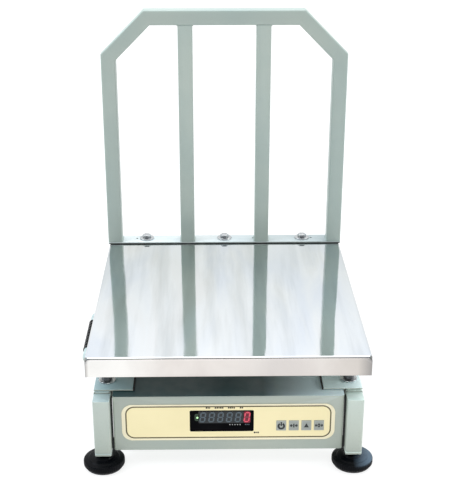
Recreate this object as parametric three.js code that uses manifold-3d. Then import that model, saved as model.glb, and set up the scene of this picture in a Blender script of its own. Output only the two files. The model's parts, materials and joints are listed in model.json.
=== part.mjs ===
// Animal weighing scale: a stainless weighing pan with a tubular guard at its back, carried by one
// single-point load cell on a square-tube base that stands on four levelling feet. The indicator box
// hangs between the front legs.
// Millimetres, X to the right, Y to the back, Z up, origin on the floor under the middle of the scale.
import * as THREE from "three";
import { mergeVertices } from "three/addons/utils/BufferGeometryUtils.js";
import Module from "manifold-3d";

const wasm = await Module();
wasm.setup();

// ---------- driving dimensions ----------

const GAP = 0.3; // between pieces that are welded, bolted or glued together
const FREE = 0.6; // between pieces that move past each other
const PASS = 1; // how far a cutting tool runs past the face that it cuts

const PAN = { width: 400, depth: 450, top: 185, skirt: 30, sheet: 1.5, bend: 3, open: 0.6, meet: 0.4 };

const GUARD = {
  tube: 24,
  wall: 1.5,
  halfWidth: 202,
  height: 403,
  chamfer: 71,
  barX: 64,
  stripDepth: 32,
  stripThickness: 3,
};
const GUARD_SCREW = {
  radius: 4,
  head: 7.4,
  headHeight: 5.3,
  washer: 12.5,
  washerHeight: 1.8,
  length: 26,
  fromBack: 14,
};
const GUARD_SCREWS = [
  { name: "left", x: -136 },
  { name: "middle", x: 0 },
  { name: "right", x: 136 },
];
const SPARE_HOLES = { xs: [-153, 50, 152], radius: 2 };
const VENT_HOLES = { radius: 1.8, aboveStrip: 20, belowBend: 7 };

const TUBE = { side: 24, wall: 1.6 };
const SPIDER = { halfWidth: 188, halfDepth: 221 };
const BASE = { halfWidth: 193, halfDepth: 220, top: 115, legTop: 112.5, legBottom: 22, endPlate: 4 };
const BEAM = { width: 50, from: 27 }; // the wide tubes that hold the two ends of the load cell
const PLATE = { width: 56, depth: 48, thickness: 2.5, behindLeg: 2 };

const CELL = { length: 150, width: 38, height: 33, holeRadius: 9.5, holeY: 13, slot: 4 };
const SPACER = { width: 38, depth: 44, thickness: 5 };
const CELL_BOLT = { radius: 4, head: 7.5, headHeight: 5.3, depth: 14, access: 9.5 };
const CELL_BOLT_Y = { near: 39.5, far: 64.5 }; // from the middle of the cell
const OVERLOAD_TRAVEL = 1; // the stop bolts catch the platform after this
const STOP = {
  x: 176,
  y: 167,
  radius: 5,
  head: 9,
  headHeight: 7,
  nut: 9.8,
  nutHeight: 8,
  washer: 12.5,
  washerHeight: 2,
  intoRail: 12,
};

const BOX = { halfWidth: 165.5, front: -210, back: -105, bottom: 26.3, top: 114.7, sheet: 1.2, corner: 4 };
const OVERLAY = { width: 306, height: 58.5, centreZ: 72.4, thickness: 0.8, corner: 15, glue: 0.1 };
const WINDOW = { width: 91.5, height: 34.4, x: -9.6, z: 74.7, thickness: 2, corner: 2 };
const DISPLAY = { width: 76, height: 20, x: -5.2, z: 80.8, depth: 8 };
const KEY = { width: 14, height: 16.4, pitch: 18.1, firstX: 76, z: 66.3, proud: 0.5 };
const KEY_FLANGE = { lip: 1.3, thickness: 1.2, plunger: 2.5 };
const KEY_NAMES = ["power", "tare", "up", "zero"];
const BOARD = { left: -62, right: 150, bottom: 40, top: 102, front: -199, thickness: 1.6 };
const BOARD_STUD = { radius: 2.5, inset: 5, screwHole: 1.6 };
const SWITCH = { side: 6, depth: 5 };
const BATTERY = { length: 100, depth: 47, height: 70, x: -108, y: -146 };
const SOCKET = {
  x: -60,
  z: 66,
  flange: 9,
  flangeDepth: 2,
  barrel: 6,
  bore: 3.5,
  boreDepth: 11,
  length: 16,
};

const FOOT = { knob: 30, sole: 27, stud: 5, pin: 4, step: 22, boss: 12, edge: 1 };
const FOOT_Z = { sole: 3, socket: 7.4, disc: 13, step: 14.6, boss: 18, stud: 62 };
const HANDLE = { y: 1.5, z: 103, length: 179, reach: 32, bar: 5.5, corner: 16, grip: 7, gripLength: 96 };
const GLAND = { z: 66, body: 6, inside: 8, hexagon: 9, hexagonDepth: 4, cap: 6.5, capEnd: -95 };
const CABLE = { radius: 2.5, z: 136, dropY: -84 };
const ROUND = { small: 12, medium: 16, large: 24 }; // sides of a round shape, by its size

const CORNERS = [
  { name: "front_left", x: -1, y: -1 },
  { name: "front_right", x: 1, y: -1 },
  { name: "rear_left", x: -1, y: 1 },
  { name: "rear_right", x: 1, y: 1 },
];
const SIDES = [
  { name: "left", x: -1 },
  { name: "right", x: 1 },
];

const frameBottom = BASE.top - TUBE.side;
const spacerBottom = BASE.top + GAP;
const cellBottom = spacerBottom + SPACER.thickness + GAP;
const cellTop = cellBottom + CELL.height;
const upperSpacerBottom = cellTop + GAP;
const spiderBottom = upperSpacerBottom + SPACER.thickness + GAP;
const spiderTop = spiderBottom + TUBE.side;
const legInner = BASE.halfWidth - TUBE.side;
const railHalfLength = BASE.halfDepth - TUBE.side - GAP;
const stripTop = PAN.top + GAP + GUARD.stripThickness;
const guardTop = PAN.top + GUARD.height;
const guardY = PAN.depth / 2 - GUARD.stripDepth;
const guardScrewY = PAN.depth / 2 - GUARD_SCREW.fromBack;
const legX = BASE.halfWidth - TUBE.side / 2;
const legY = BASE.halfDepth - TUBE.side / 2;
const switchFront = BOARD.front - SWITCH.depth;

// ---------- materials ----------

function material(color, roughness, metalness = 0) {
  return new THREE.MeshStandardMaterial({ color, roughness, metalness });
}

const PAINT = material(0xb6bdb4, 0.45);
const STAINLESS = material(0xd8d6d6, 0.12, 1);
const STEEL = material(0xa9adb0, 0.3, 1);
const ALUMINIUM = material(0xc3c6c8, 0.4, 1);
const DARK_STEEL = material(0x3c3f42, 0.5, 0.8);
const BLACK_PLASTIC = material(0x16171a, 0.55);
const RUBBER = material(0x202122, 0.9);
const CREAM = material(0xf3ead0, 0.5);
const GREY_KEY = material(0x8d9194, 0.55);
const SMOKED = material(0x0b0c10, 0.08);
const BOARD_GREEN = material(0x1e5a38, 0.5);

// ---------- solids ----------

// A closed three.js geometry as a manifold-3d solid.
function toSolid(geometry) {
  const bare = geometry.clone();
  bare.deleteAttribute("normal");
  bare.deleteAttribute("uv");
  const merged = mergeVertices(bare, 1e-4);
  const mesh = new wasm.Mesh({
    numProp: 3,
    vertProperties: merged.attributes.position.array,
    triVerts: new Uint32Array(merged.index.array),
  });
  return new wasm.Manifold(mesh);
}

function toGeometry(solid) {
  const mesh = solid.getMesh();
  const geometry = new THREE.BufferGeometry();
  geometry.setAttribute("position", new THREE.BufferAttribute(mesh.vertProperties, 3));
  geometry.setIndex(new THREE.BufferAttribute(mesh.triVerts, 1));
  geometry.computeVertexNormals();
  return geometry;
}

function join(...geometries) {
  return toGeometry(geometries.map(toSolid).reduce((whole, next) => whole.add(next)));
}

function cut(geometry, tools) {
  const solid = tools.map(toSolid).reduce((whole, tool) => whole.subtract(tool), toSolid(geometry));
  return toGeometry(solid);
}

// ---------- shared shapes ----------

// A box between two opposite corners.
function block(low, high) {
  const size = high.map((value, i) => value - low[i]);
  const geometry = new THREE.BoxGeometry(...size);
  return geometry.translate(...low.map((value, i) => value + size[i] / 2));
}

// A square tube between two opposite corners, open at both ends of its axis (0, 1 or 2).
function tube(low, high, axis, wall = TUBE.wall) {
  const innerLow = low.map((value, i) => (i === axis ? value - PASS : value + wall));
  const innerHigh = high.map((value, i) => (i === axis ? value + PASS : value - wall));
  return cut(block(low, high), [block(innerLow, innerHigh)]);
}

// An upright cylinder between two heights.
function post(x, y, radius, bottom, top, sides = ROUND.large) {
  const geometry = new THREE.CylinderGeometry(radius, radius, top - bottom, sides);
  return geometry.rotateX(Math.PI / 2).translate(x, y, (bottom + top) / 2);
}

// A round bar along Y between two depths.
function barAlongY(x, z, radius, from, to, sides = ROUND.large) {
  const geometry = new THREE.CylinderGeometry(radius, radius, to - from, sides);
  return geometry.translate(x, (from + to) / 2, z);
}

// A round bar across the scale between two places on X.
function barAlongX(y, z, radius, from, to, sides = ROUND.large) {
  const geometry = new THREE.CylinderGeometry(radius, radius, to - from, sides);
  return geometry.rotateZ(Math.PI / 2).translate((from + to) / 2, y, z);
}

// A hexagon bolt head or nut, by its radius to the corners.
function hexagon(x, y, radius, bottom, top) {
  return post(x, y, radius, bottom, top, 6);
}

// A turned piece from its outline of [radius, height] points, which starts and ends on the axis.
function turned(outline, sides = ROUND.large) {
  const points = outline.map(([radius, height]) => new THREE.Vector2(radius, height));
  return new THREE.LatheGeometry(points, sides).rotateX(Math.PI / 2);
}

// A flat outline in the X and Z directions, extruded along Y from one depth to another.
function slabAlongY(shape, from, to, curveSegments = 6) {
  const options = { depth: to - from, bevelEnabled: false, curveSegments };
  const geometry = new THREE.ExtrudeGeometry(shape, options);
  return geometry.rotateX(Math.PI / 2).translate(0, to, 0);
}

// A flat outline in the X and Y directions, extruded upwards.
function slabAlongZ(shape, bottom, top, curveSegments = 6) {
  const options = { depth: top - bottom, bevelEnabled: false, curveSegments };
  return new THREE.ExtrudeGeometry(shape, options).translate(0, 0, bottom);
}

function roundedRectangle(x, y, width, height, radius) {
  const left = x - width / 2;
  const right = x + width / 2;
  const low = y - height / 2;
  const high = y + height / 2;
  const shape = new THREE.Shape();
  shape.moveTo(left + radius, low);
  shape.absarc(right - radius, low + radius, radius, -Math.PI / 2, 0);
  shape.absarc(right - radius, high - radius, radius, 0, Math.PI / 2);
  shape.absarc(left + radius, high - radius, radius, Math.PI / 2, Math.PI);
  shape.absarc(left + radius, low + radius, radius, Math.PI, Math.PI * 1.5);
  return shape;
}

function polygon(points) {
  return new THREE.Shape(points.map(([x, y]) => new THREE.Vector2(x, y)));
}

// ---------- the platform: pan, spider frame and guard ----------

// One folded edge of the pan, from its flat top round the bend and down the skirt, along X.
function foldedEdge(length) {
  const shape = new THREE.Shape();
  shape.moveTo(-PAN.bend - PASS, 0);
  shape.lineTo(-PAN.bend, 0);
  shape.absarc(-PAN.bend, -PAN.bend, PAN.bend, Math.PI / 2, 0, true);
  shape.lineTo(0, -PAN.skirt);
  shape.lineTo(-PAN.sheet, -PAN.skirt);
  shape.lineTo(-PAN.sheet, -PAN.bend);
  shape.absarc(-PAN.bend, -PAN.bend, PAN.bend - PAN.sheet, 0, Math.PI / 2, false);
  shape.lineTo(-PAN.bend - PASS, -PAN.sheet);
  const options = { depth: length, bevelEnabled: false, curveSegments: 5 };
  const geometry = new THREE.ExtrudeGeometry(shape, options).translate(0, 0, -length / 2);
  return geometry.rotateX(Math.PI / 2);
}

// The skirt under a folded edge, from one end to the other, with its outer face at X = 0.
function skirt(length) {
  return block([-PAN.sheet, -length / 2, -PAN.skirt], [0, length / 2, -PAN.bend]);
}

function guardScrewHole(x, bottom, top) {
  return post(x, guardScrewY, GUARD_SCREW.radius + GAP, bottom, top, ROUND.medium);
}

// The pan's corners are open at the bends. Below them the front and rear skirts cover the side ones.
function pan() {
  const flatX = PAN.width / 2 - PAN.bend;
  const flatY = PAN.depth / 2 - PAN.bend;
  const top = block([-flatX, -flatY, PAN.top - PAN.sheet], [flatX, flatY, PAN.top]);
  const edges = [0, 1, 2, 3].flatMap((turn) => {
    const isSide = turn % 2 === 0;
    const reach = isSide ? PAN.width / 2 : PAN.depth / 2;
    const bendLength = 2 * (isSide ? flatY : flatX) - 2 * PAN.open;
    const skirtLength = isSide ? PAN.depth - 2 * (PAN.sheet + PAN.meet) : PAN.width;
    const place = (geometry) => geometry.translate(reach, 0, PAN.top).rotateZ((turn * Math.PI) / 2);
    return [place(foldedEdge(bendLength)), place(skirt(skirtLength))];
  });
  const holes = GUARD_SCREWS.map(({ x }) => guardScrewHole(x, PAN.top - PAN.sheet - PASS, PAN.top + PASS));
  return cut(join(top, ...edges), holes);
}

// The guard's bent outline, moved inwards by an inset.
function hoopOutline(inset, bottom) {
  const side = GUARD.halfWidth - inset;
  const slant = inset * Math.tan(Math.PI / 8);
  const bendZ = guardTop - GUARD.chamfer - slant;
  const shoulder = GUARD.halfWidth - GUARD.chamfer - slant;
  const top = guardTop - inset;
  return polygon([
    [-side, bottom],
    [-side, bendZ],
    [-shoulder, top],
    [shoulder, top],
    [side, bendZ],
    [side, bottom],
  ]);
}

function hoopBand(outerInset, innerInset, from, to, bottom) {
  const outer = slabAlongY(hoopOutline(outerInset, bottom), from, to);
  return cut(outer, [slabAlongY(hoopOutline(innerInset, bottom - PASS), from - PASS, to + PASS)]);
}

function guardHoop() {
  const bottom = stripTop + GAP;
  const back = guardY + GUARD.tube;
  const solid = hoopBand(0, GUARD.tube, guardY, back, bottom);
  const { wall } = GUARD;
  const hollow = hoopBand(wall, GUARD.tube - wall, guardY + wall, back - wall, bottom - PASS);
  return cut(solid, [hollow, ...ventHoles()]);
}

// Small holes through the inner face of each upright, near its foot and under its bend.
function ventHoles() {
  const half = GUARD.tube / 2;
  const inner = GUARD.halfWidth - GUARD.tube;
  const low = stripTop + VENT_HOLES.aboveStrip;
  const high = guardTop - GUARD.chamfer - half - VENT_HOLES.belowBend;
  return SIDES.flatMap(({ x }) => {
    const from = x * inner - GUARD.wall - PASS;
    const to = x * inner + GUARD.wall + PASS;
    return [low, high].map((z) => barAlongX(guardY + half, z, VENT_HOLES.radius, from, to, ROUND.small));
  });
}

function guardBar(side) {
  const x = side * GUARD.barX;
  const half = GUARD.tube / 2;
  const low = [x - half, guardY, stripTop + GAP];
  const high = [x + half, guardY + GUARD.tube, guardTop - GUARD.tube - GAP];
  return tube(low, high, 2, GUARD.wall);
}

function guardStrip() {
  const bottom = PAN.top + GAP;
  const low = [-GUARD.halfWidth, guardY, bottom];
  const high = [GUARD.halfWidth, guardY + GUARD.stripDepth, stripTop];
  const screwHoles = GUARD_SCREWS.map(({ x }) => guardScrewHole(x, bottom - PASS, stripTop + PASS));
  const spareHoles = SPARE_HOLES.xs.map((x) =>
    post(x, guardScrewY, SPARE_HOLES.radius, bottom - PASS, stripTop + PASS, ROUND.small),
  );
  return cut(block(low, high), [...screwHoles, ...spareHoles]);
}

function guardScrew(x) {
  const washerTop = stripTop + GAP + GUARD_SCREW.washerHeight;
  return join(
    post(x, guardScrewY, GUARD_SCREW.washer, stripTop + GAP, washerTop),
    hexagon(x, guardScrewY, GUARD_SCREW.head, washerTop - GAP, washerTop + GUARD_SCREW.headHeight),
    post(x, guardScrewY, GUARD_SCREW.radius, washerTop - GUARD_SCREW.length, washerTop, ROUND.small),
  );
}

function spiderRail(side) {
  const outer = SPIDER.halfWidth;
  const inner = outer - TUBE.side;
  const halfLength = SPIDER.halfDepth - TUBE.side - GAP;
  const xs = side < 0 ? [-outer, -inner] : [inner, outer];
  return tube([xs[0], -halfLength, spiderBottom], [xs[1], halfLength, spiderTop], 1);
}

function spiderEnd(side) {
  const outer = SPIDER.halfDepth;
  const inner = outer - TUBE.side;
  const ys = side < 0 ? [-outer, -inner] : [inner, outer];
  const low = [-SPIDER.halfWidth, ys[0], spiderBottom];
  const high = [SPIDER.halfWidth, ys[1], spiderTop];
  if (side < 0) return tube(low, high, 0);
  const from = spiderTop - TUBE.wall - PASS;
  const holes = GUARD_SCREWS.map(({ x }) => guardScrewHole(x, from, spiderTop + PASS));
  return cut(tube(low, high, 0), holes);
}

// ---------- the load cell between the two wide beams ----------

// A wide tube across the scale. Bolts bear on its face towards the cell, and pass through round
// openings in its other face.
function cellBeam(side, halfLength, bottom, cellIsAbove) {
  const ys = side < 0 ? [-BEAM.from - BEAM.width, -BEAM.from] : [BEAM.from, BEAM.from + BEAM.width];
  const top = bottom + TUBE.side;
  const beam = tube([-halfLength, ys[0], bottom], [halfLength, ys[1], top], 0);
  const middle = bottom + TUBE.side / 2;
  const holes = Object.values(CELL_BOLT_Y).flatMap((y) => {
    const narrow = post(0, side * y, CELL_BOLT.radius + GAP, bottom - PASS, top + PASS, ROUND.medium);
    const wide = cellIsAbove ? [bottom - PASS, middle] : [middle, top + PASS];
    return [narrow, post(0, side * y, CELL_BOLT.access, ...wide)];
  });
  return cut(beam, holes);
}

function loadCell() {
  const halfWidth = CELL.width / 2;
  const halfLength = CELL.length / 2;
  const middle = (cellBottom + cellTop) / 2;
  const body = block([-halfWidth, -halfLength, cellBottom], [halfWidth, halfLength, cellTop]);
  const outside = halfWidth + PASS;
  const pockets = [-1, 1].map((end) =>
    barAlongX(end * CELL.holeY, middle, CELL.holeRadius, -outside, outside),
  );
  const slotLow = [-outside, -CELL.holeY, middle - CELL.slot / 2];
  const slot = block(slotLow, [outside, CELL.holeY, middle + CELL.slot / 2]);
  const boltHole = (y, bottom, top) => post(0, y, CELL_BOLT.radius + GAP, bottom, top, ROUND.medium);
  const depth = CELL_BOLT.depth + PASS;
  const holes = Object.values(CELL_BOLT_Y).flatMap((y) => [
    boltHole(-y, cellBottom - PASS, cellBottom + depth),
    boltHole(y, cellTop - depth, cellTop + PASS),
  ]);
  return cut(body, [...pockets, slot, ...holes]);
}

function cellSpacer(side, bottom) {
  const top = bottom + SPACER.thickness;
  const centreY = (side * (CELL_BOLT_Y.near + CELL_BOLT_Y.far)) / 2;
  const low = [-SPACER.width / 2, centreY - SPACER.depth / 2, bottom];
  const high = [SPACER.width / 2, centreY + SPACER.depth / 2, top];
  const holes = Object.values(CELL_BOLT_Y).map((y) =>
    post(0, side * y, CELL_BOLT.radius + GAP, bottom - PASS, top + PASS, ROUND.medium),
  );
  return cut(block(low, high), holes);
}

// The fixed end is bolted from below, inside the base beam.
function fixedCellBolt(y) {
  const seat = BASE.top - TUBE.wall - GAP;
  return join(
    hexagon(0, y, CELL_BOLT.head, seat - CELL_BOLT.headHeight, seat),
    post(0, y, CELL_BOLT.radius, seat - GAP, cellBottom + CELL_BOLT.depth, ROUND.medium),
  );
}

// The live end is bolted from above, inside the spider beam.
function liveCellBolt(y) {
  const seat = spiderBottom + TUBE.wall + GAP;
  return join(
    hexagon(0, y, CELL_BOLT.head, seat, seat + CELL_BOLT.headHeight),
    post(0, y, CELL_BOLT.radius, cellTop - CELL_BOLT.depth, seat + GAP, ROUND.medium),
  );
}

// ---------- the base ----------

// The hole for a stop bolt, which passes through its corner plate and the top of the rail.
function stopHole(corner) {
  const bottom = BASE.top - TUBE.wall - PASS;
  const top = BASE.top + GAP + PLATE.thickness + PASS;
  return post(corner.x * STOP.x, corner.y * STOP.y, STOP.radius + GAP, bottom, top, ROUND.medium);
}

function baseRail(side) {
  const xs = side < 0 ? [-BASE.halfWidth, -legInner] : [legInner, BASE.halfWidth];
  const rail = tube([xs[0], -railHalfLength, frameBottom], [xs[1], railHalfLength, BASE.top], 1);
  return cut(rail, CORNERS.filter(({ x }) => x === side).map(stopHole));
}

function baseRearTube() {
  const half = legInner - GAP;
  const low = [-half, BASE.halfDepth - TUBE.side, frameBottom];
  return tube(low, [half, BASE.halfDepth, BASE.top], 0);
}

// A square leg with a closed top and a welded end plate that takes the foot's stud.
function leg(corner) {
  const { wall, side } = TUBE;
  const low = [-side / 2, -side / 2, BASE.legBottom];
  const high = [side / 2, side / 2, BASE.legTop];
  const hollowLow = [wall - side / 2, wall - side / 2, BASE.legBottom + BASE.endPlate];
  const hollowHigh = [side / 2 - wall, side / 2 - wall, BASE.legTop - wall];
  const holeTop = BASE.legBottom + BASE.endPlate + PASS;
  const studHole = post(0, 0, FOOT.stud + FREE, BASE.legBottom - PASS, holeTop);
  const geometry = cut(block(low, high), [block(hollowLow, hollowHigh), studHole]);
  return geometry.translate(corner.x * legX, corner.y * legY, 0);
}

function cornerPlate(corner) {
  const front = BASE.halfDepth - TUBE.side - PLATE.behindLeg;
  const xs = [BASE.halfWidth - PLATE.width, BASE.halfWidth].map((x) => corner.x * x);
  const ys = [front - PLATE.depth, front].map((y) => corner.y * y);
  const bottom = BASE.top + GAP;
  const low = [Math.min(...xs), Math.min(...ys), bottom];
  const high = [Math.max(...xs), Math.max(...ys), bottom + PLATE.thickness];
  return cut(block(low, high), [stopHole(corner)]);
}

// An overload stop: a bolt set from below its plate's lock nut to just under the spider frame.
function stopBolt(corner) {
  const x = corner.x * STOP.x;
  const y = corner.y * STOP.y;
  const seat = BASE.top + GAP + PLATE.thickness + GAP;
  const washerTop = seat + STOP.washerHeight;
  const top = spiderBottom - OVERLOAD_TRAVEL - GAP;
  return join(
    post(x, y, STOP.washer, seat, washerTop),
    hexagon(x, y, STOP.nut, washerTop - GAP, washerTop + STOP.nutHeight),
    post(x, y, STOP.radius, BASE.top - STOP.intoRail, top - GAP, ROUND.medium),
    hexagon(x, y, STOP.head, top - STOP.headHeight, top),
  );
}

// The centre line of a bow handle, out from the rail, along it and back, in the XY plane.
function bowPath(side) {
  const end = HANDLE.length / 2 - HANDLE.bar;
  const reach = HANDLE.reach - HANDLE.grip;
  const { corner } = HANDLE;
  const steps = 5;
  const points = [[GAP, -end]];
  for (const way of [-1, 1]) {
    for (let i = 0; i <= steps; i++) {
      const angle = ((way < 0 ? i : steps - i) / steps) * (Math.PI / 2);
      const x = reach - corner + corner * Math.sin(angle);
      points.push([x, way * (end - corner + corner * Math.cos(angle))]);
    }
  }
  points.push([GAP, end]);
  const at = ([x, y]) => new THREE.Vector3(side * (BASE.halfWidth + x), HANDLE.y + y, HANDLE.z);
  return new THREE.CatmullRomCurve3(points.map(at), false, "centripetal");
}

// A bent bar with both ends on the outer face of a side rail, and a thicker grip along its middle.
function handle(side) {
  const section = new THREE.Shape().absarc(0, 0, HANDLE.bar, 0, Math.PI * 2);
  const sweep = { steps: 40, curveSegments: 6, extrudePath: bowPath(side) };
  const bow = new THREE.ExtrudeGeometry(section, sweep);
  const x = side * (BASE.halfWidth + HANDLE.reach - HANDLE.grip);
  const from = HANDLE.y - HANDLE.gripLength / 2;
  return join(bow, barAlongY(x, HANDLE.z, HANDLE.grip, from, from + HANDLE.gripLength));
}

// ---------- levelling feet ----------

function footSole() {
  return turned([
    [0, 0],
    [FOOT.sole, 0],
    [FOOT.sole, FOOT_Z.sole],
    [FOOT.pin, FOOT_Z.sole],
    [FOOT.pin, FOOT_Z.socket - GAP],
    [0, FOOT_Z.socket - GAP],
  ]);
}

// The disc that is turned by hand, moulded on its steel stud, with a socket for the sole's pin.
function footKnob() {
  const bottom = FOOT_Z.sole + GAP;
  const { knob, stud, pin, step, boss, edge } = FOOT;
  return turned([
    [0, FOOT_Z.socket],
    [pin + GAP, FOOT_Z.socket],
    [pin + GAP, bottom],
    [knob - edge, bottom],
    [knob, bottom + edge],
    [knob, FOOT_Z.disc - edge],
    [knob - edge, FOOT_Z.disc],
    [step + edge, FOOT_Z.disc],
    [step, FOOT_Z.step],
    [boss + edge, FOOT_Z.step],
    [boss, FOOT_Z.boss],
    [stud, FOOT_Z.boss],
    [stud, FOOT_Z.stud],
    [0, FOOT_Z.stud],
  ]);
}

// ---------- the indicator box ----------

function keyX(index) {
  return KEY.firstX + index * KEY.pitch;
}

// The holes for the four keys and the window, through a panel between two depths.
function panelHoles(from, to, clearance) {
  const width = KEY.width + 2 * clearance;
  const height = KEY.height + 2 * clearance;
  const keys = KEY_NAMES.map((_, i) =>
    block([keyX(i) - width / 2, from, KEY.z - height / 2], [keyX(i) + width / 2, to, KEY.z + height / 2]),
  );
  const opening = roundedRectangle(
    WINDOW.x,
    WINDOW.z,
    WINDOW.width + 2 * clearance,
    WINDOW.height + 2 * clearance,
    WINDOW.corner,
  );
  return [...keys, slabAlongY(opening, from, to, 3)];
}

// The folded housing: its outline seen from above, with round front edges, hollow and open at the back.
function housingOutline(inset, back) {
  const x = BOX.halfWidth - inset;
  const front = BOX.front + inset;
  const radius = BOX.corner - inset;
  const shape = new THREE.Shape();
  shape.moveTo(-x, back);
  shape.lineTo(-x, front + radius);
  shape.absarc(radius - x, front + radius, radius, Math.PI, Math.PI * 1.5);
  shape.absarc(x - radius, front + radius, radius, Math.PI * 1.5, Math.PI * 2);
  shape.lineTo(x, back);
  return shape;
}

function indicatorHousing() {
  const { sheet } = BOX;
  const outside = slabAlongZ(housingOutline(0, BOX.back - GAP), BOX.bottom, BOX.top);
  const inside = slabAlongZ(housingOutline(sheet, BOX.back + PASS), BOX.bottom + sheet, BOX.top - sheet);
  const shell = cut(outside, [inside, ...panelHoles(BOX.front - PASS, BOX.front + sheet + PASS, GAP)]);
  return join(shell, ...boardStuds(BOARD_STUD.radius, BOX.front + GAP, BOARD.front - GAP));
}

// Four bars near the corners of the circuit board: the housing's studs, or the holes over them.
function boardStuds(radius, from, to) {
  const { inset } = BOARD_STUD;
  const xs = [BOARD.left + inset, BOARD.right - inset];
  const zs = [BOARD.bottom + inset, BOARD.top - inset];
  return xs.flatMap((x) => zs.map((z) => barAlongY(x, z, radius, from, to, ROUND.small)));
}

function rearCover() {
  const back = BOX.back + BOX.sheet;
  const low = [-BOX.halfWidth, BOX.back, BOX.bottom];
  const high = [BOX.halfWidth, back, BOX.top];
  const hole = (x, z, radius) => barAlongY(x, z, radius + GAP, BOX.back - PASS, back + PASS);
  return cut(block(low, high), [hole(0, GLAND.z, GLAND.body), hole(SOCKET.x, SOCKET.z, SOCKET.barrel)]);
}

function panelOverlay() {
  const outline = roundedRectangle(0, OVERLAY.centreZ, OVERLAY.width, OVERLAY.height, OVERLAY.corner);
  const back = BOX.front - OVERLAY.glue;
  const sheet = slabAlongY(outline, back - OVERLAY.thickness, back);
  return cut(sheet, panelHoles(back - OVERLAY.thickness - PASS, back + PASS, GAP));
}

function displayWindow() {
  const outline = roundedRectangle(WINDOW.x, WINDOW.z, WINDOW.width, WINDOW.height, WINDOW.corner);
  const front = BOX.front - OVERLAY.glue - OVERLAY.thickness;
  return slabAlongY(outline, front, front + WINDOW.thickness, 3);
}

function displayModule() {
  const { x, z, width, height, depth } = DISPLAY;
  const back = BOARD.front - GAP;
  return block([x - width / 2, back - depth, z - height / 2], [x + width / 2, back, z + height / 2]);
}

function key(index) {
  const x = keyX(index);
  const front = BOX.front - OVERLAY.glue - OVERLAY.thickness - KEY.proud;
  const flangeFront = BOX.front + BOX.sheet + GAP;
  const flangeBack = flangeFront + KEY_FLANGE.thickness;
  const halfWidth = KEY.width / 2;
  const halfHeight = KEY.height / 2;
  const { lip, plunger } = KEY_FLANGE;
  return join(
    block([x - halfWidth, front, KEY.z - halfHeight], [x + halfWidth, flangeBack, KEY.z + halfHeight]),
    block(
      [x - halfWidth - lip, flangeFront, KEY.z - halfHeight - lip],
      [x + halfWidth + lip, flangeBack, KEY.z + halfHeight + lip],
    ),
    barAlongY(x, KEY.z, plunger, flangeBack - GAP, switchFront - FREE, ROUND.small),
  );
}

// The circuit board, with a small switch behind each key and holes over the housing's studs.
function mainBoard() {
  const { left, right, bottom, top, front, thickness } = BOARD;
  const plate = block([left, front, bottom], [right, front + thickness, top]);
  const half = SWITCH.side / 2;
  const switches = KEY_NAMES.map((_, i) =>
    block([keyX(i) - half, switchFront, KEY.z - half], [keyX(i) + half, front + GAP, KEY.z + half]),
  );
  const holes = boardStuds(BOARD_STUD.screwHole, front - PASS, front + thickness + PASS);
  return cut(join(plate, ...switches), holes);
}

function battery() {
  const { x, y, length, depth, height } = BATTERY;
  const bottom = BOX.bottom + BOX.sheet + GAP;
  return block([x - length / 2, y - depth / 2, bottom], [x + length / 2, y + depth / 2, bottom + height]);
}

function chargingSocket() {
  const { x, z, flange, flangeDepth, barrel, bore, boreDepth, length } = SOCKET;
  const face = BOX.back + BOX.sheet + GAP;
  const end = face + flangeDepth;
  const body = join(barAlongY(x, z, flange, face, end), barAlongY(x, z, barrel, end - length, end - GAP));
  return cut(body, [barAlongY(x, z, bore, end - boreDepth, end + PASS)]);
}

function cableGland() {
  const face = BOX.back + BOX.sheet + GAP;
  const inner = BOX.back - GLAND.inside;
  const hexagonEnd = face + GLAND.hexagonDepth;
  const body = join(
    barAlongY(0, GLAND.z, GLAND.body, inner, face + GAP),
    barAlongY(0, GLAND.z, GLAND.hexagon, face, hexagonEnd, 6),
    barAlongY(0, GLAND.z, GLAND.cap, hexagonEnd - GAP, GLAND.capEnd),
  );
  const bore = barAlongY(0, GLAND.z, CABLE.radius + GAP, inner - PASS, GLAND.capEnd + PASS, ROUND.small);
  return cut(body, [bore]);
}

// The points of a quarter turn in the YZ plane, about a centre, from one angle to another.
function quarterTurn(centreY, centreZ, radius, from, to, steps = 6) {
  return Array.from({ length: steps + 1 }, (_, i) => {
    const angle = from + ((to - from) * i) / steps;
    return new THREE.Vector3(0, centreY + radius * Math.cos(angle), centreZ + radius * Math.sin(angle));
  });
}

// The load cell's cable: out of its fixed end, down behind the indicator box and into the gland.
function loadCellCable() {
  const start = -CELL.length / 2 - GAP;
  const upper = start - CABLE.dropY;
  const lower = CABLE.dropY - GLAND.capEnd - GAP;
  const route = [
    ...quarterTurn(start, CABLE.z - upper, upper, Math.PI / 2, Math.PI),
    ...quarterTurn(GLAND.capEnd - GAP, GLAND.z + lower, lower, 0, -Math.PI / 2),
  ];
  const section = new THREE.Shape().absarc(0, 0, CABLE.radius, 0, Math.PI * 2);
  const path = new THREE.CatmullRomCurve3(route, false, "centripetal");
  return new THREE.ExtrudeGeometry(section, { steps: 20, curveSegments: 4, extrudePath: path });
}

// ---------- the assembly ----------

function named(name, geometry, finish) {
  const mesh = new THREE.Mesh(geometry, finish);
  mesh.name = name;
  return mesh;
}

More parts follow.
